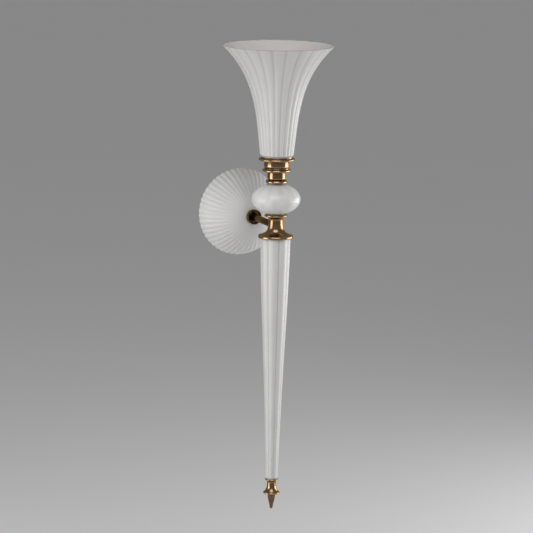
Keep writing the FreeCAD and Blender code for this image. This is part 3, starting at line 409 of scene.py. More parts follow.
def stem_radius(share):
    """A smooth line through the stem's radii, from its lower end up."""
    place = share * (len(STEM_RADII) - 1)
    low = min(int(place), len(STEM_RADII) - 2)
    part = place - low
    before = STEM_RADII[max(low - 1, 0)]
    after = STEM_RADII[min(low + 2, len(STEM_RADII) - 1)]
    here, there = STEM_RADII[low], STEM_RADII[low + 1]
    leave, arrive = (there - before) / 2, (after - here) / 2
    return (here * (2 * part ** 3 - 3 * part ** 2 + 1) + leave * (part ** 3 - 2 * part ** 2 + part)
            + there * (3 * part ** 2 - 2 * part ** 3) + arrive * (part ** 3 - part ** 2))


stem_levels = [step / STEM_STEPS for step in range(1, STEM_STEPS)]
stem_out = [Vector((stem_radius(share), share * stem_long)) for share in stem_levels]
stem_points = outline((STEM_RADII[0] - STEM_WALL, 0), (STEM_RADII[0] - STEM_CORNER, 0),
                      (STEM_RADII[0], STEM_CORNER, -QUARTER))
stem_points += stem_out
stem_points += outline((STEM_RADII[-1], stem_long - STEM_CORNER),
                       (STEM_RADII[-1] - STEM_CORNER, stem_long, -QUARTER),
                       (STEM_RADII[-1] - STEM_WALL, stem_long))


def stem_groove(number):
    point = stem_points[number]
    return point.x * STEM_GROOVE_SHARE if point.x > STEM_RADII[0] - STEM_CORNER - 0.1 else 0


stem = raise_ring("drawn_stem", stem_points, foot_of("stem_glass"), around=STEM_FLUTES * 16,
                  ribs=STEM_FLUTES, turn=STEM_TURN, groove=stem_groove)
smooth_glass(stem)
settle(stem, "stem_glass", smooth=60)

# %% [markdown]
# ## The glass ball
#
# The ball between the brass column and the bell is blown free and pressed a little flat: an upright ellipse,
# turned. A ground seat and a hole for the tube are at each pole.

# %% Glass ball
BALL_WALL = 4.0
BALL_HALF_HIGH = 27.0
BALL_STEPS = 30
ball_wide = radius_of("ball_glass")
ball_middle = height_of("ball_glass") / 2


def ball_line(wide, tall, start, end, steps):
    """Points of the ball's ellipse between two angles from its middle, in degrees."""
    angles = [math.radians(start + (end - start) * step / steps) for step in range(steps + 1)]
    return [Vector((wide * math.cos(angle), ball_middle + tall * math.sin(angle))) for angle in angles]


seat_angle = math.degrees(math.asin(ball_middle / BALL_HALF_HIGH))
inner_tall = BALL_HALF_HIGH - BALL_WALL
inner_angle = math.degrees(math.acos(TUBE_HOLE / (ball_wide - BALL_WALL)))
ball_points = [Vector((TUBE_HOLE, 0))]
ball_points += ball_line(ball_wide, BALL_HALF_HIGH, -seat_angle, seat_angle, BALL_STEPS)
ball_points += [Vector((TUBE_HOLE, 2 * ball_middle))]
ball_points += ball_line(ball_wide - BALL_WALL, inner_tall, inner_angle, -inner_angle, BALL_STEPS)
ball = raise_ring("blown_ball", ball_points, foot_of("ball_glass"), around=144)
soften_edges(ball, 0.5)
settle(ball, "ball_glass")

# %% [markdown]
# ## The brass column
#
# Between ball and shade stand five turned pieces: a disc, a bead, a wider disc, a larger bead and the dish
# that carries the glass. Discs have half-round edges. Each bead swells low down, draws in a little towards
# its neck, and stands on a narrower foot, which leaves the dark lines between the pieces. The middle disc's
# edge hangs a little lower than its bore, so that it covers the neck of the bead below.

# %% Discs and beads
TUBE_BORE = 5.1
DISC_EDGE = 0.42
FILLET = 0.7


def turn_disc(name, node, drop=0.0, below=9.0, above=9.0):
    """A disc. With a drop its edge hangs lower than its middle, around the neck of the piece below it."""
    radius, high = radius_of(node), height_of(node)
    edge = radius - high * DISC_EDGE
    points = outline((TUBE_BORE, 0), (below, 0), (below, -drop), (edge - FILLET, -drop),
                     (edge, FILLET / 2 - drop, -QUARTER), (edge, high - FILLET / 2 - drop, -DISC_EDGE),
                     (edge - FILLET, high - drop, -QUARTER), (above, high - drop), (above, high),
                     (TUBE_BORE, high))
    turn_piece(name, node, points)


def turn_bead(name, node, neck, belly):
    radius, high = radius_of(node), height_of(node)
    points = outline((TUBE_BORE, 0), (radius - belly * 0.5, 0), (radius, belly, -0.16),
                     (neck, high - FILLET, -0.03), (neck - FILLET, high, -QUARTER), (TUBE_BORE, high))
    turn_piece(name, node, points)


turn_disc("foot_disc", "column_foot_disc")
turn_bead("lower_bead", "column_lower_bead", neck=15.0, belly=4.4)
turn_disc("middle_disc", "column_middle_disc", drop=1.5, below=15.7, above=21.4)
turn_bead("upper_bead", "column_upper_bead", neck=20.6, belly=4.6)

# %% [markdown]
# ## The dish under the shade
#
# The dish is wider than it is high. Its rounded edge stands out under the glass, and a narrower seat rises
# from it to carry the glass, which leaves the dark line under the shade.

# %% Dish
DISH_SEAT_RADIUS = 27.0
DISH_EDGE_HIGH = 4.4
dish_radius, dish_high = radius_of("gallery_dish"), height_of("gallery_dish")
dish_edge = dish_radius - DISH_EDGE_HIGH * DISC_EDGE
dish_points = outline((TUBE_BORE, 0), (dish_edge - FILLET, 0), (dish_edge, FILLET / 2, -QUARTER),
                      (dish_edge, DISH_EDGE_HIGH - FILLET / 2, -DISC_EDGE),
                      (dish_edge - FILLET, DISH_EDGE_HIGH, -QUARTER), (DISH_SEAT_RADIUS, DISH_EDGE_HIGH),
                      (DISH_SEAT_RADIUS, dish_high), (TUBE_BORE, dish_high))
turn_piece("shade_dish", "gallery_dish", dish_points, edge=0.25)

# %% [markdown]
# ## The bell
#
# The bell is the heart of the light: the arm screws into its side, the ball stands on it and the stem hangs
# in a recess under it. The section runs from a wide, thin foot flange up a steep hollow to a slim waist, and
# out again to the top flange. The arm goes through a round hole, so the bell is cut by a Boolean of a
# cylinder in the arm's place.

# %% Bell
BELL_FOOT_HIGH = 5.4
BELL_FOOT_ROUND = 1.5
BELL_WAIST = 12.3
BELL_WAIST_LIFT = 10.0
BELL_FLARE = 19.4
BELL_FLARE_HIGH = 9.2
BELL_HIP = 13.8
BELL_HIP_DROP = 3.2
BELL_TOP_RADIUS = 19.8
BELL_TOP_HIGH = 4.0
BELL_POCKET = 27.5
BELL_POCKET_DEEP = 4.5
FLANGE_ROUND = 1.4
BELL_WEB = 5.0
ROD_BORE = 3.1
ARM_RADIUS = 6.0
ARM_PLAY = 0.1
bell_foot = radius_of("bell_body")
bell_high = height_of("bell_body")
bell_axis = -foot_of("bell_body")
web = BELL_POCKET_DEEP + BELL_WEB
bell_points = outline(
    (BELL_POCKET, 0),
    (bell_foot - BELL_FOOT_ROUND, 0),
    (bell_foot, BELL_FOOT_HIGH / 2, -0.2),
    (bell_foot - BELL_FOOT_ROUND, BELL_FOOT_HIGH, -0.2),
    (BELL_FLARE, BELL_FLARE_HIGH, 0.07),
    (BELL_HIP, bell_axis - BELL_HIP_DROP, 0.12),
    (BELL_WAIST, bell_axis + BELL_WAIST_LIFT, 0.03),
    (BELL_TOP_RADIUS - FLANGE_ROUND, bell_high - BELL_TOP_HIGH, 0.2),
    (BELL_TOP_RADIUS - FLANGE_ROUND, bell_high, -HALF_ROUND),
    (TUBE_BORE, bell_high),
    (TUBE_BORE, web),
    (ROD_BORE, web),
    (ROD_BORE, BELL_POCKET_DEEP),
    (BELL_POCKET, BELL_POCKET_DEEP),
)
bell = raise_ring("turned_bell", bell_points, foot_of("bell_body"), around=160)
drill_hole(bell, ARM_RADIUS + ARM_PLAY, 60, TORCH + Vector((0, 0.03, 0)), around=64)
soften_edges(bell, 0.25)
settle(bell, "bell_body", smooth=35)

# %% [markdown]
# ## The tip
#
# Under the stem hang a small brass spool, an echo of the bell, and a plain blunt spike. The spike is the nut
# of the whole stem: screwed on the rod, it pulls spool and glass up against the bell.

# %% Tip
TIP_LIP_RADIUS = 11.8
TIP_LIP = 2.6
TIP_WAIST = 8.0
TIP_WAIST_DROP = 8.0
TIP_FOOT_HIGH = 3.2
SPIKE_MID = 5.0
SPIKE_MID_LIFT = 14.0
SPIKE_LEDGE = 2.4
SPIKE_POINT = 0.35
SPIKE_END = 2.7
SPIKE_THREAD = 10.5
tip_foot, tip_high = radius_of("tip_cup"), height_of("tip_cup")
tip_points = outline(
    (ROD_BORE, 0), (tip_foot - FLANGE_ROUND, 0), (tip_foot - FLANGE_ROUND, TIP_FOOT_HIGH, -HALF_ROUND),
    (TIP_WAIST, tip_high - TIP_WAIST_DROP, 0.12), (TIP_LIP_RADIUS - FLANGE_ROUND, tip_high - TIP_LIP, 0.2),
    (TIP_LIP_RADIUS - FLANGE_ROUND, tip_high, -HALF_ROUND), (ROD_BORE, tip_high))
turn_piece("tip_spool", "tip_cup", tip_points)

spike_top, spike_long = radius_of("tip_spike"), height_of("tip_spike")
spike_points = outline(
    (SPIKE_POINT, 0), (SPIKE_END, SPIKE_END, -QUARTER), (SPIKE_MID, SPIKE_MID_LIFT, 0.03),
    (spike_top - SPIKE_LEDGE / 2, spike_long - SPIKE_LEDGE, -0.03),
    (spike_top - SPIKE_LEDGE / 2, spike_long, -HALF_ROUND), (ROD_BORE, spike_long),
    (ROD_BORE, spike_long - SPIKE_THREAD), (SPIKE_POINT, spike_long - SPIKE_THREAD))
turn_piece("blunt_spike", "tip_spike", spike_points, edge=0.15, around=96, closed=False)

# %% [markdown]
# ## The rosette
#
# The rosette is a deep dome of the same opal glass, with 48 fine ribs that run straight from the rim and
# fade out towards a plain crown. Pieces on the arm's axis are raised upright at the origin and then turned
# a quarter turn towards the room.

# %% Rosette
ROSETTE_RIBS = 48
ROSETTE_WALL = 3.6
ROSETTE_RIB = 1.5
ROSETTE_CROWN = 14.0
ROSETTE_PLAIN = 0.3
ROSETTE_POWER = 1.5
ROSETTE_STEPS = 26
ROSETTE_LIP = 2.4
ROSETTE_RIM = 0.8
WALL_GAP = 0.5
ORIGIN = Vector((0, 0, 0))
rosette_radius = radius_of("glass_rosette") + ROSETTE_LIP
rosette_out = -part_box("glass_rosette")[0].y / MM - WALL_GAP
crown_angle = math.acos(ROSETTE_CROWN / rosette_radius)
rosette_deep = rosette_out / math.sin(crown_angle) ** ROSETTE_POWER


def dome(radius, deep, share):
    angle = crown_angle * share
    return Vector((radius * math.cos(angle), deep * math.sin(angle) ** ROSETTE_POWER))


dome_shares = [step / ROSETTE_STEPS for step in range(ROSETTE_STEPS + 1)]
dome_out = [dome(rosette_radius, rosette_deep, share) for share in dome_shares]
dome_out[0].y = ROSETTE_RIM
inner_radius = rosette_radius - ROSETTE_RIB - ROSETTE_WALL
dome_in = [dome(inner_radius, rosette_deep - ROSETTE_WALL, share) for share in dome_shares[::-1]]
arm_hole = ARM_RADIUS + 0.6
rosette_points = [Vector((inner_radius + 0.6, 0)), Vector((rosette_radius - ROSETTE_RIM, 0))] + dome_out
rosette_points += [Vector((arm_hole, dome_out[-1].y)), Vector((arm_hole, dome_in[0].y))] + dome_in
rosette_points[-1].y = ROSETTE_RIM


def rosette_groove(number):
    if not 1 <= number < 2 + len(dome_out):
        return 0
    radius = rosette_points[number].x
    return ROSETTE_RIB * max(0.0, (radius / rosette_radius - ROSETTE_PLAIN) / (1 - ROSETTE_PLAIN)) ** 0.8


rosette = raise_ring("blown_rosette", rosette_points, WALL_GAP, around=ROSETTE_RIBS * 6, ribs=ROSETTE_RIBS,
                     groove=rosette_groove, axis=ORIGIN)
smooth_glass(rosette)
settle(rosette, "glass_rosette", smooth=60, turn=WALL_TURN)

# %% [markdown]
# ## The cup and the arm
#
# A small brass cup holds the rosette's crown. Its turned lip stands up round a dark recess, from which the
# plain tube of the arm runs out to the bell.

# %% Cup and arm
CUP_FLOOR = 4.6
CUP_LIP_WALL = 1.6
CUP_LIP_ROUND = 0.7
CUP_CORNER = 0.8
ARM_BORE = 4.8
cup_low, cup_high_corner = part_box("rosette_cup")
cup_foot = -cup_high_corner.y / MM
cup_high = (cup_high_corner.y - cup_low.y) / MM
cup_radius = radius_of("rosette_cup")
lip_inside, lip_level = cup_radius - CUP_LIP_WALL, cup_high - CUP_LIP_ROUND
cup_points = outline(
    (ARM_RADIUS + ARM_PLAY, 0), (cup_radius - 0.5, 0), (cup_radius, 0.5, -QUARTER), (cup_radius, lip_level),
    (lip_inside, lip_level, -HALF_ROUND), (lip_inside, CUP_FLOOR + CUP_CORNER),
    (lip_inside - CUP_CORNER, CUP_FLOOR, -QUARTER), (ARM_RADIUS + ARM_PLAY, CUP_FLOOR))
cup = raise_ring("arm_cup", cup_points, cup_foot, axis=ORIGIN)
soften_edges(cup, 0.2)
settle(cup, "rosette_cup", turn=WALL_TURN)

# %% Arm tube
WIRE_HOLE = 2.5
WIRE_HOLE_OUT = 32.0
arm_out = -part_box("arm_tube")[0].y / MM
arm_points = outline((ARM_BORE, 0), (ARM_RADIUS, 0), (ARM_RADIUS, arm_out), (ARM_BORE, arm_out))
arm = raise_ring("arm_pipe", arm_points, 0, around=96, axis=ORIGIN)
drill_hole(arm, WIRE_HOLE, 20, (0, 0.01, WIRE_HOLE_OUT * MM), around=32)
soften_edges(arm, 0.25)
settle(arm, "arm_tube", smooth=35, turn=WALL_TURN)

# %% [markdown]
# ## The lamp's thread and the lampholder
#
# From above one looks down the trumpet at a candle lamp in its holder. The screw thread on the lamp's cap is
# rolled sheet, a row of soft round waves. Its turns are so flat that rings one pitch apart look the same, so
# the cap is raised like any turned piece from an outline of half-round bows. The holder has a ring of thin
# grip ribs, one modelled and the rest turned copies.

# %% Lamp cap
THREAD_CREST = 1.41
THREAD_WAVE = 2.256
THREAD_WAVES = 5
THREAD_FOOT = 1.6
THREAD_DEEP = 0.55
CAP_WALL = 1.4
cap_radius, cap_high = radius_of("lamp_cap"), height_of("lamp_cap")
thread_root = cap_radius - THREAD_DEEP
cap_inside = cap_radius - CAP_WALL
cap_corners = [(cap_inside, 0), (thread_root, 0.6, -QUARTER), (thread_root, THREAD_FOOT)]
for wave in range(THREAD_WAVES):
    level = THREAD_FOOT + wave * THREAD_WAVE
    cap_corners += [(thread_root, level + THREAD_CREST, -0.24), (thread_root, level + THREAD_WAVE, 0.12)]
cap_corners += [(thread_root, cap_high - 1.2), (cap_radius, cap_high - 0.5, QUARTER), (cap_radius, cap_high),
                (cap_radius - 0.5, cap_high), (cap_inside, cap_high - 1.5), (cap_inside, 0.5)]
cap = raise_ring("threaded_cap", outline(*cap_corners), foot_of("lamp_cap"), around=96)
settle(cap, "lamp_cap", body="lamp", smooth=50)

# %% Lampholder
GRIP_RIBS = 24
GRIP_RIB_WIDE = 1.1
GRIP_RIB_PROUD = 0.5
HOLDER_MOUTH = 9.4
HOLDER_FLOOR = 5.0
HOLDER_LIP = 2.0
HOLDER_ROUND = 0.4
PIN_HOLE = 0.4
GRIP_FOOT = 3.0
holder_radius, holder_high = radius_of("holder_body"), height_of("holder_body")
grip_radius = holder_radius - GRIP_RIB_PROUD
grip_top = holder_high - HOLDER_LIP - 3
holder_points = outline(
    (PIN_HOLE, 0), (holder_radius - HOLDER_ROUND, 0), (holder_radius, HOLDER_ROUND, -QUARTER),
    (holder_radius, GRIP_FOOT - 1), (grip_radius, GRIP_FOOT - 0.5), (grip_radius, grip_top + 0.5),
    (holder_radius, grip_top + 1), (holder_radius, holder_high - HOLDER_LIP),
    (holder_radius - HOLDER_LIP, holder_high, -QUARTER), (HOLDER_MOUTH + HOLDER_ROUND, holder_high),
    (HOLDER_MOUTH, holder_high - HOLDER_ROUND, -QUARTER), (HOLDER_MOUTH, HOLDER_FLOOR),
    (PIN_HOLE, HOLDER_FLOOR))
holder = raise_ring("holder_shell", holder_points, foot_of("holder_body"), around=96, closed=False)
rib_middle = foot_of("holder_body") + (GRIP_FOOT + grip_top) / 2
bpy.ops.object.select_all(action="DESELECT")
bpy.ops.mesh.primitive_cube_add(size=1, location=TORCH + Vector((grip_radius * MM, 0, rib_middle * MM)))
rib = bpy.context.object
rib.scale = (GRIP_RIB_PROUD * 2 * MM, GRIP_RIB_WIDE * MM, (grip_top - GRIP_FOOT) * MM)
bpy.ops.object.transform_apply(location=False, rotation=False, scale=True)
soften_edges(rib, 0.35, segments=3)
ribs = [rib]
for turn in range(1, GRIP_RIBS):
    copy = rib.copy()
    copy.data = rib.data.copy()
    bpy.context.scene.collection.objects.link(copy)
    spin = Matrix.Rotation(2 * math.pi * turn / GRIP_RIBS, 4, "Z")
    copy.matrix_world = Matrix.Translation(TORCH) @ spin @ Matrix.Translation(-TORCH) @ rib.matrix_world
    ribs.append(copy)
bpy.ops.object.select_all(action="DESELECT")
for piece in [*ribs, holder]:
    piece.select_set(True)
bpy.context.view_layer.objects.active = holder
bpy.ops.object.join()
soften_edges(holder, 0.12)
settle(holder, "holder_body")

# %% [markdown]
# ## Node helpers
#
# Materials are built from nodes in code. A short helper adds a node with its settings and links what feeds
# it, so that each material below reads like the list of its layers.

# %% Node helpers


def add_node(tree, kind, links=None, **settings):
    """Adds a node; links maps an input's name or number to a value or to the output that feeds it."""
    node = tree.nodes.new(kind)
    for word, value in settings.items():
        setattr(node, word, value)
    for socket, value in (links or {}).items():
        if isinstance(value, bpy.types.NodeSocket):
            tree.links.new(value, node.inputs[socket])
        else:
            node.inputs[socket].default_value = value
    return node


def new_group(name, inputs, outputs):
    """A node group with named inputs (name, kind, value) and outputs (name, kind)."""
    group = bpy.data.node_groups.new(name, "ShaderNodeTree")
    for word, kind, value in inputs:
        socket = group.interface.new_socket(name=word, in_out="INPUT", socket_type=kind)
        if value is not None:
            socket.default_value = value
    for word, kind in outputs:
        group.interface.new_socket(name=word, in_out="OUTPUT", socket_type=kind)
    return group, group.nodes.new("NodeGroupInput"), group.nodes.new("NodeGroupOutput")


def use_group(tree, group, **links):
    return add_node(tree, "ShaderNodeGroup", {word.replace("_", " "): value for word, value in links.items()},
                    node_tree=group)


def math_node(tree, operation, *values):
    return add_node(tree, "ShaderNodeMath", dict(enumerate(values)), operation=operation).outputs[0]


print("node helpers ready")

# %% [markdown]
# ## Shared effects
#
# Four effects are made once and used in the finishes. Turning lines are the fine rings that a lathe leaves,
# so they depend only on the height and the distance from the axis. Age clouds are soft patches, for patina,
# dust or the uneven milk of opal glass. Rib lines follow the grooves between blown ribs: the angle about the
# axis, counted in ribs, tells how far a point is from the nearest groove. The outer side is a mask that is 1
# where a surface looks away from the axis, so that the lines stay off the smooth inside of the trumpet.

# %% Turning lines
turning_lines, entry, result = new_group(
    "turning_lines", [("Vector", "NodeSocketVector", None), ("Fineness", "NodeSocketFloat", 1200.0)],
    [("Height", "NodeSocketFloat")])
split = add_node(turning_lines, "ShaderNodeSeparateXYZ", {0: entry.outputs["Vector"]})
across = math_node(turning_lines, "POWER", split.outputs[0], 2.0)
along = math_node(turning_lines, "POWER", split.outputs[1], 2.0)
from_axis = math_node(turning_lines, "SQRT", math_node(turning_lines, "ADD", across, along))
section = add_node(turning_lines, "ShaderNodeCombineXYZ", {0: from_axis, 2: split.outputs[2]})
lines = add_node(turning_lines, "ShaderNodeTexNoise",
                 {"Vector": section.outputs[0], "Scale": entry.outputs["Fineness"], "Detail": 2.0})
turning_lines.links.new(lines.outputs[0], result.inputs["Height"])

# %% Age clouds
age_clouds, entry, result = new_group(
    "age_clouds", [("Vector", "NodeSocketVector", None), ("Scale", "NodeSocketFloat", 60.0),
                   ("Contrast", "NodeSocketFloat", 2.0)],
    [("Mask", "NodeSocketFloat")])
clouds = add_node(age_clouds, "ShaderNodeTexNoise",
                  {"Vector": entry.outputs["Vector"], "Scale": entry.outputs["Scale"], "Detail": 5.0,
                   "Roughness": 0.6, "Distortion": 0.4})
centred = math_node(age_clouds, "SUBTRACT", clouds.outputs[0], 0.5)
stretched = math_node(age_clouds, "MULTIPLY_ADD", centred, entry.outputs["Contrast"], 0.5)
mask = add_node(age_clouds, "ShaderNodeClamp", {0: stretched})
age_clouds.links.new(mask.outputs[0], result.inputs["Mask"])

# %% Rib lines
rib_lines, entry, result = new_group(
    "rib_lines", [("Vector", "NodeSocketVector", None), ("Ribs", "NodeSocketFloat", 24.0),
                  ("Turn", "NodeSocketFloat", 0.0), ("Width", "NodeSocketFloat", 0.3)],
    [("Groove", "NodeSocketFloat")])
split = add_node(rib_lines, "ShaderNodeSeparateXYZ", {0: entry.outputs["Vector"]})
angle = math_node(rib_lines, "ARCTAN2", split.outputs[1], split.outputs[0])
turned_angle = math_node(rib_lines, "SUBTRACT", angle, entry.outputs["Turn"])
counted = math_node(rib_lines, "MULTIPLY", turned_angle,
                    math_node(rib_lines, "DIVIDE", entry.outputs["Ribs"], 2 * math.pi))
place = math_node(rib_lines, "FRACT", math_node(rib_lines, "ADD", counted, 0.5))
side = math_node(rib_lines, "SUBTRACT", place, 0.5)
distance = math_node(rib_lines, "MULTIPLY", math_node(rib_lines, "ABSOLUTE", side), 2.0)
groove = add_node(rib_lines, "ShaderNodeMapRange",
                  {"Value": distance, "From Min": 0.0, "From Max": entry.outputs["Width"], "To Min": 1.0,
                   "To Max": 0.0}, interpolation_type="SMOOTHSTEP")
rib_lines.links.new(groove.outputs[0], result.inputs["Groove"])

# %% Outer side
outer_side, entry, result = new_group("outer_side", [("Vector", "NodeSocketVector", None)],
                                      [("Mask", "NodeSocketFloat")])
flat = add_node(outer_side, "ShaderNodeVectorMath", {0: entry.outputs["Vector"], 1: (1, 1, 0)},
                operation="MULTIPLY")
outward = add_node(outer_side, "ShaderNodeVectorMath", {0: flat.outputs[0]}, operation="NORMALIZE")
surface = add_node(outer_side, "ShaderNodeNewGeometry")
facing = add_node(outer_side, "ShaderNodeVectorMath", {0: outward.outputs[0], 1: surface.outputs["Normal"]},
                  operation="DOT_PRODUCT")
mask = add_node(outer_side, "ShaderNodeMapRange", {"Value": facing.outputs["Value"], "From Min": -0.1,
                                                   "From Max": 0.2})
outer_side.links.new(mask.outputs[0], result.inputs["Mask"])
print("shared groups:", [group.name for group in bpy.data.node_groups])

# %% [markdown]
# ## How a material starts
#
# Every finish begins with a Principled shader and the piece's Object coordinates. A Mapping node centres them
# on the torch's axis, or turns them for pieces on the arm, so that ribs and rings run round the right axis.

# %% A material's start


def new_material(name, upright=True):
    """A node material with its Principled shader and coordinates that have the piece's axis as their Z."""
    material = bpy.data.materials.new(name)
    material.use_nodes = True
    tree = material.node_tree
    shader = next(node for node in tree.nodes if node.type == "BSDF_PRINCIPLED")
    where = add_node(tree, "ShaderNodeTexCoord")
    centred = add_node(tree, "ShaderNodeMapping", {"Vector": where.outputs["Object"]})
    if upright:
        centred.inputs["Location"].default_value = -TORCH
    else:
        centred.inputs["Rotation"].default_value = (-math.pi / 2, 0, 0)
    return material, tree, shader, centred.outputs[0]


def blend(tree, mask, first, second):
    """Mixes two colours, or outputs, by a mask. Sockets 6 and 7 are the node's two colours."""
    links = {0: mask, 6: first, 7: second}
    return add_node(tree, "ShaderNodeMix", links, data_type="RGBA").outputs[2]


def spread(tree, mask, low, high):
    """Maps a mask from 0 to 1 onto a range."""
    return math_node(tree, "MULTIPLY_ADD", mask, high - low, low)


def bump(tree, height, distance, strength):
    links = {"Height": height, "Distance": distance, "Strength": strength}
    return add_node(tree, "ShaderNodeBump", links).outputs[0]


# %% [markdown]
# ## Opal glass
#
# Opal glass is white glass under a clear skin. The white is a soft, nearly neutral grey-white that lets a
# little light sink in; the skin gives a second, sharper reflection, so it is the shader's coat. The grooves
# are painted a darker grey, painted shade for the light they catch less of, which draws the fine grey lines
# between the ribs.

# %% Opal glass
OPAL = (0.58, 0.575, 0.565, 1)
OPAL_SHADE = (0.53, 0.525, 0.51, 1)
OPAL_GROOVE = (0.34, 0.335, 0.325, 1)
LIP_LINE_FROM = 0.0016
LIP_LINE_TO = 0.0008
shade_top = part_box("trumpet_shade")[1].z


def opal_body(shader, coat, coat_roughness):
    """What the ribbed glass and the ball share: a weak gloss, the coat and a little light inside."""
    shader.inputs["Specular IOR Level"].default_value = 0.25
    shader.inputs["Coat Weight"].default_value = coat
    shader.inputs["Coat Roughness"].default_value = coat_roughness
    shader.inputs["Subsurface Weight"].default_value = 0.12
    shader.inputs["Subsurface Scale"].default_value = 0.004


def opal_glass(name, ribs, turn, width, depth, upright=True, open_top=False):
    """Ribbed opal glass. An open top gets a grey line along its lip and no rib lines on its inside."""
    material, tree, shader, where = new_material(name, upright)
    milk = use_group(tree, age_clouds, Vector=where, Scale=14.0, Contrast=1.6).outputs["Mask"]
    colour = blend(tree, milk, OPAL_SHADE, OPAL)
    lines = use_group(tree, rib_lines, Vector=where, Ribs=float(ribs), Turn=math.radians(turn), Width=width)
    strength = math_node(tree, "MULTIPLY", lines.outputs["Groove"], depth)
    if open_top:
        outside_only = use_group(tree, outer_side, Vector=where).outputs["Mask"]
        strength = math_node(tree, "MULTIPLY", strength, outside_only)
    # Painted shade: the grooves between the ribs are darkened towards the groove grey.
    colour = blend(tree, strength, colour, OPAL_GROOVE)
    if open_top:
        height = add_node(tree, "ShaderNodeSeparateXYZ", {0: where}).outputs[2]
        lip_line = add_node(tree, "ShaderNodeMapRange", {"Value": height, "From Min": shade_top - LIP_LINE_FROM,
                                                         "From Max": shade_top - LIP_LINE_TO})
        colour = blend(tree, lip_line.outputs[0], colour, OPAL_GROOVE)
    tree.links.new(colour, shader.inputs["Base Color"])
    tree.links.new(spread(tree, milk, 0.38, 0.48), shader.inputs["Roughness"])
    waves = use_group(tree, age_clouds, Vector=where, Scale=45.0, Contrast=1.0).outputs["Mask"]
    tree.links.new(bump(tree, waves, 0.0012, 0.25), shader.inputs["Normal"])
    shader.inputs["IOR"].default_value = 1.5
    opal_body(shader, 0.1, 0.16)
    print(name, "with", ribs, "ribs")
    return material


trumpet_opal = opal_glass("opal_glass_trumpet", SHADE_RIBS, SHADE_TURN, width=0.34, depth=0.42, open_top=True)
stem_opal = opal_glass("opal_glass_stem", STEM_FLUTES, STEM_TURN, width=0.16, depth=0.8)
rosette_opal = opal_glass("opal_glass_rosette", ROSETTE_RIBS, 0.0, width=0.42, depth=0.18, upright=False)

# %% [markdown]
# ## The ball's net
#
# The ball was blown in a net mould before it was pressed flat, and kept a faint net of diamonds. Two sets of
# lines climb round it, one to the left and one to the right; where they meet, the glass is a touch higher.

# %% Net of the ball
NET_LINES = 22
NET_CLIMB = 150.0
NET_WHITE = (0.66, 0.655, 0.645, 1)
ball_opal, tree, shader, where = new_material("opal_glass_ball")
split = add_node(tree, "ShaderNodeSeparateXYZ", {0: where})
angle = math_node(tree, "ARCTAN2", split.outputs[1], split.outputs[0])
round_it = math_node(tree, "MULTIPLY", angle, NET_LINES / 2)
climb = math_node(tree, "MULTIPLY", split.outputs[2], NET_CLIMB)
to_right = math_node(tree, "COSINE", math_node(tree, "ADD", round_it, climb))
to_left = math_node(tree, "COSINE", math_node(tree, "SUBTRACT", round_it, climb))
net = math_node(tree, "MAXIMUM", to_right, to_left)
milk = use_group(tree, age_clouds, Vector=where, Scale=30.0, Contrast=1.4).outputs["Mask"]
net_mask = math_node(tree, "MULTIPLY_ADD", net, 0.25, 0.3)
white = blend(tree, milk, OPAL_SHADE, OPAL)
tree.links.new(blend(tree, net_mask, white, NET_WHITE), shader.inputs["Base Color"])
tree.links.new(spread(tree, milk, 0.3, 0.4), shader.inputs["Roughness"])
tree.links.new(bump(tree, net, 0.0005, 0.2), shader.inputs["Normal"])
opal_body(shader, 0.22, 0.12)
print("net with", NET_LINES, "crossings round the ball")

# %% [markdown]
# ## Aged brass
#
# The brass was browned with age and then wiped. Ambient Occlusion darkens the hollows, which is patina and
# painted shade, so the bellies stay lighter; Pointiness finds the worn edges, and soft clouds break both up.
# Fine turning lines in the bump give the metal the grain of the lathe. The arm, its cup and the spike get
# darker copies of the brass, which is painted shade, and wear only on their sharpest edges.

# %% Aged brass
BRASS_DARK = (0.05, 0.027, 0.012, 1)
BRASS_MID = (0.30, 0.195, 0.105, 1)
BRASS_WORN = (0.70, 0.53, 0.34, 1)
BRASS_GRAZING = (0.9, 0.72, 0.52, 1)


def aged_brass(name, upright=True, age=0.35, painted_shade_tone=1.0, wear=0.51):
    material, tree, shader, where = new_material(name, upright)
    # Painted shade: Ambient Occlusion darkens the hollows and the gaps between pieces towards the dark brass,
    # as patina there and as shade.
    hollow_shade = add_node(tree, "ShaderNodeAmbientOcclusion", {"Distance": 0.006}, samples=8)
    unshaded_part = math_node(tree, "POWER", hollow_shade.outputs["AO"], 0.7)
    patches = use_group(tree, age_clouds, Vector=where, Scale=70.0, Contrast=2.2).outputs["Mask"]
    unshaded_and_wiped = math_node(tree, "MULTIPLY", unshaded_part, spread(tree, patches, 1 - age, 1.0))
    # Painted shade: a tone under 1 makes a darker, shaded copy of the brass.
    middle = (*(channel * painted_shade_tone for channel in BRASS_MID[:3]), 1)
    colour = blend(tree, unshaded_and_wiped, BRASS_DARK, middle)
    shape = add_node(tree, "ShaderNodeNewGeometry")
    edge = add_node(tree, "ShaderNodeMapRange",
                    {"Value": shape.outputs["Pointiness"], "From Min": wear, "From Max": wear + 0.06})
    colour = blend(tree, edge.outputs[0], colour, BRASS_WORN)
    tree.links.new(colour, shader.inputs["Base Color"])
    tree.links.new(spread(tree, patches, 0.26, 0.14), shader.inputs["Roughness"])
    rings = use_group(tree, turning_lines, Vector=where, Fineness=1500.0).outputs["Height"]
    tree.links.new(bump(tree, rings, 0.0001, 0.25), shader.inputs["Normal"])
    shader.inputs["Metallic"].default_value = 1.0
    shader.inputs["Specular Tint"].default_value = BRASS_GRAZING
    print(name)
    return material


torch_brass = aged_brass("aged_brass_torch")
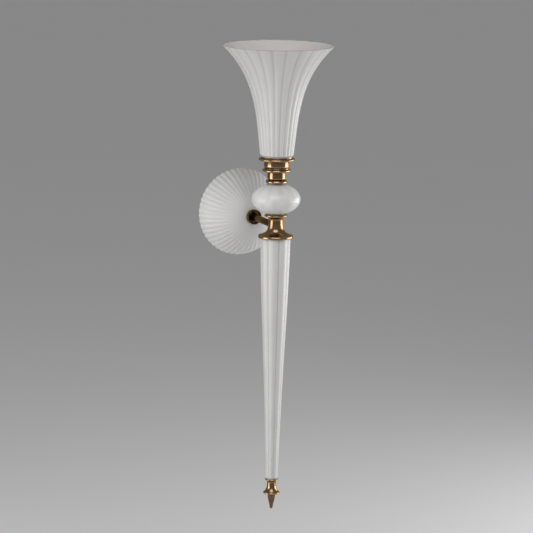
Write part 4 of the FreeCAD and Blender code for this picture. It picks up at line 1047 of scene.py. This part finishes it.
# The arm, cup and spike get darker copies of the brass: painted shade.
shaded_arm_brass = aged_brass("aged_brass_arm", upright=False, age=0.4, painted_shade_tone=0.42, wear=0.7)
shaded_cup_brass = aged_brass("aged_brass_cup", upright=False, age=0.5, painted_shade_tone=0.55, wear=0.54)
shaded_spike_brass = aged_brass("aged_brass_spike", age=0.45, painted_shade_tone=0.6, wear=0.6)

# %% [markdown]
# ## The finishes inside
#
# The remaining pieces are seen from above, through the mouth of the trumpet, or from behind: plain brass,
# zinc-plated steel, ceramic, plastic, clear soft seals and the lamp. Each has the trace of how it is made,
# such as turning lines, the spangle of zinc, or the specks of fired clay.

# %% Plain finishes


def plain_finish(name, first, second, rough, metallic=0.0, scale=120.0, contrast=1.6, rings=0.0):
    """A finish of two near colours in clouds, with a range of roughness and, if wanted, turning lines."""
    material, tree, shader, where = new_material(name)
    patches = use_group(tree, age_clouds, Vector=where, Scale=scale, Contrast=contrast).outputs["Mask"]
    tree.links.new(blend(tree, patches, first, second), shader.inputs["Base Color"])
    tree.links.new(spread(tree, patches, *rough), shader.inputs["Roughness"])
    if rings:
        height = use_group(tree, turning_lines, Vector=where, Fineness=rings).outputs["Height"]
    else:
        height = patches
    tree.links.new(bump(tree, height, 0.00008, 0.3), shader.inputs["Normal"])
    shader.inputs["Metallic"].default_value = metallic
    return material


finishes = {
    "plain_brass": plain_finish("plain_brass", (0.72, 0.50, 0.22, 1), (0.82, 0.62, 0.32, 1), (0.38, 0.24),
                                metallic=1.0, rings=1300.0),
    "zinc_steel": plain_finish("zinc_steel", (0.50, 0.52, 0.55, 1), (0.66, 0.67, 0.68, 1), (0.45, 0.3),
                               metallic=1.0, scale=260.0, contrast=3.0),
    "block_plastic": plain_finish("block_plastic", (0.72, 0.71, 0.67, 1), (0.78, 0.77, 0.73, 1), (0.5, 0.4),
                                  scale=500.0),
    "holder_ceramic": plain_finish("holder_ceramic", (0.70, 0.68, 0.62, 1), (0.78, 0.76, 0.70, 1), (0.35, 0.22),
                                   scale=300.0),
    "clear_seal": plain_finish("clear_seal", (0.30, 0.29, 0.27, 1), (0.38, 0.37, 0.34, 1), (0.5, 0.6),
                               scale=200.0),
    "lamp_metal": plain_finish("lamp_metal", (0.66, 0.65, 0.62, 1), (0.78, 0.77, 0.74, 1), (0.3, 0.18),
                               metallic=1.0, scale=200.0),
    "lamp_black": plain_finish("lamp_black", (0.02, 0.02, 0.025, 1), (0.035, 0.035, 0.04, 1), (0.12, 0.2)),
    "lamp_rod": plain_finish("lamp_rod", (0.86, 0.58, 0.16, 1), (0.92, 0.68, 0.26, 1), (0.55, 0.45),
                             scale=900.0),
}
lamp_glass, tree, shader, where = new_material("lamp_glass")
film = use_group(tree, age_clouds, Vector=where, Scale=60.0, Contrast=1.5).outputs["Mask"]
tree.links.new(spread(tree, film, 0.0, 0.05), shader.inputs["Roughness"])
shader.inputs["Base Color"].default_value = (0.97, 0.98, 0.98, 1)
shader.inputs["IOR"].default_value = 1.45
shader.inputs["Transmission Weight"].default_value = 1.0
finishes["lamp_glass"] = lamp_glass

# %% [markdown]
# ## Giving out the finishes
#
# The record says which material each CAD piece is made of. Pieces with a finish of their own are listed by
# name, and every other piece gets the finish of its slot.

# %% Each piece gets its finish
own_finish = {
    "blown_trumpet": trumpet_opal, "drawn_stem": stem_opal, "blown_ball": ball_opal,
    "blown_rosette": rosette_opal, "arm_cup": shaded_cup_brass, "arm_pipe": shaded_arm_brass, "blunt_spike": shaded_spike_brass,
}
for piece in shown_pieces():
    slot_name = piece.get("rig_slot") or slot_of.get(piece.name)
    finish = own_finish.get(piece.name) or (torch_brass if slot_name == "aged_brass" else finishes[slot_name])
    piece.data.materials.clear()
    piece.data.materials.append(finish)

# %% [markdown]
# ## Floor, light and camera
#
# A pale floor lies well under the tip. The world is an even mid grey, and two wide soft lamps stand at the
# sides, the right one slightly behind the torch: they draw bright streaks down both sides of the brass and
# leave its middle dark, as in a dark studio. A third hangs above the camera. It lights the glass evenly and
# gives the bell its pale patch low in front. The lamps don't show themselves.

# %% Floor
FLOOR_DROP = 0.3
FLOOR_SIZE = 80
bpy.ops.object.select_all(action="DESELECT")
bpy.ops.mesh.primitive_plane_add(size=FLOOR_SIZE, location=(0, 0, cad_low.z - FLOOR_DROP))
floor = bpy.context.object
floor.name = "studio_floor"
floor_paint, tree, shader, where = new_material("floor_paint")
grain = use_group(tree, age_clouds, Vector=where, Scale=3.0, Contrast=1.0).outputs["Mask"]
tree.links.new(blend(tree, grain, (0.78, 0.78, 0.78, 1), (0.80, 0.80, 0.80, 1)), shader.inputs["Base Color"])
shader.inputs["Roughness"].default_value = 0.8
floor.data.materials.append(floor_paint)
print("floor at", round(floor.location.z, 3), "m")

# %% Light
VIEW_TURN = math.radians(-21.523)
LAMP_AIM = Vector((0, 0, -0.08))
world = bpy.data.worlds.new("studio")
bpy.context.scene.world = world
world.use_nodes = True
background = next(node for node in world.node_tree.nodes if node.type == "BACKGROUND")
background.inputs["Color"].default_value = (0.30, 0.30, 0.305, 1)
background.inputs["Strength"].default_value = 1.0


def soft_lamp(name, side, rise, distance, wide, high, power):
    """An area lamp that looks at the torch. The side is its angle from the camera's side, to the right."""
    turn = math.radians(side) + VIEW_TURN
    lift = math.radians(rise)
    way = Vector((math.sin(turn) * math.cos(lift), -math.cos(turn) * math.cos(lift), math.sin(lift)))
    data = bpy.data.lights.new(name, "AREA")
    data.shape = "RECTANGLE"
    data.size = wide
    data.size_y = high
    data.energy = power
    lamp = bpy.data.objects.new(name, data)
    bpy.context.scene.collection.objects.link(lamp)
    lamp.location = TORCH + way * distance + LAMP_AIM
    lamp.rotation_euler = way.to_track_quat("Z", "Y").to_euler()
    lamp.visible_camera = False
    print(name, "of", power, "W")


soft_lamp("left_lamp", -70, -3, 2.0, 1.2, 1.0, 19)
soft_lamp("right_lamp", 110, -3, 2.0, 1.8, 1.0, 32)
soft_lamp("crown_lamp", 0, 45, 2.2, 1.7, 1.4, 26)

# %% Camera
VIEW_RISE = math.radians(9.607)
VIEW_ROLL = math.radians(0.905)
VIEW_FIELD = math.radians(9.226)
VIEW_DISTANCE = 5.7406
AIM_ACROSS = -0.01482
AIM_UP = -0.07191
SENSOR = 36.0

level_right = Vector((math.cos(VIEW_TURN), math.sin(VIEW_TURN), 0))
back = Vector((math.sin(VIEW_TURN) * math.cos(VIEW_RISE), -math.cos(VIEW_TURN) * math.cos(VIEW_RISE),
               math.sin(VIEW_RISE)))
level_up = back.cross(level_right)
right = level_right * math.cos(VIEW_ROLL) + level_up * math.sin(VIEW_ROLL)
up = level_up * math.cos(VIEW_ROLL) - level_right * math.sin(VIEW_ROLL)
aim = TORCH + level_right * AIM_ACROSS + Vector((0, 0, AIM_UP))
lens = bpy.data.cameras.new("photo_view")
lens.sensor_fit = "HORIZONTAL"
lens.sensor_width = SENSOR
lens.lens = SENSOR / (2 * math.tan(VIEW_FIELD / 2))
lens.clip_end = 100
camera = bpy.data.objects.new("photo_view", lens)
bpy.context.scene.collection.objects.link(camera)
facing = Matrix((right, up, back)).transposed().to_4x4()
camera.matrix_world = Matrix.Translation(aim + back * VIEW_DISTANCE) @ facing
bpy.context.scene.camera = camera
bpy.context.scene.view_settings.view_transform = "Standard"
print("camera at", [round(value, 3) for value in camera.location], "lens", round(lens.lens, 1))
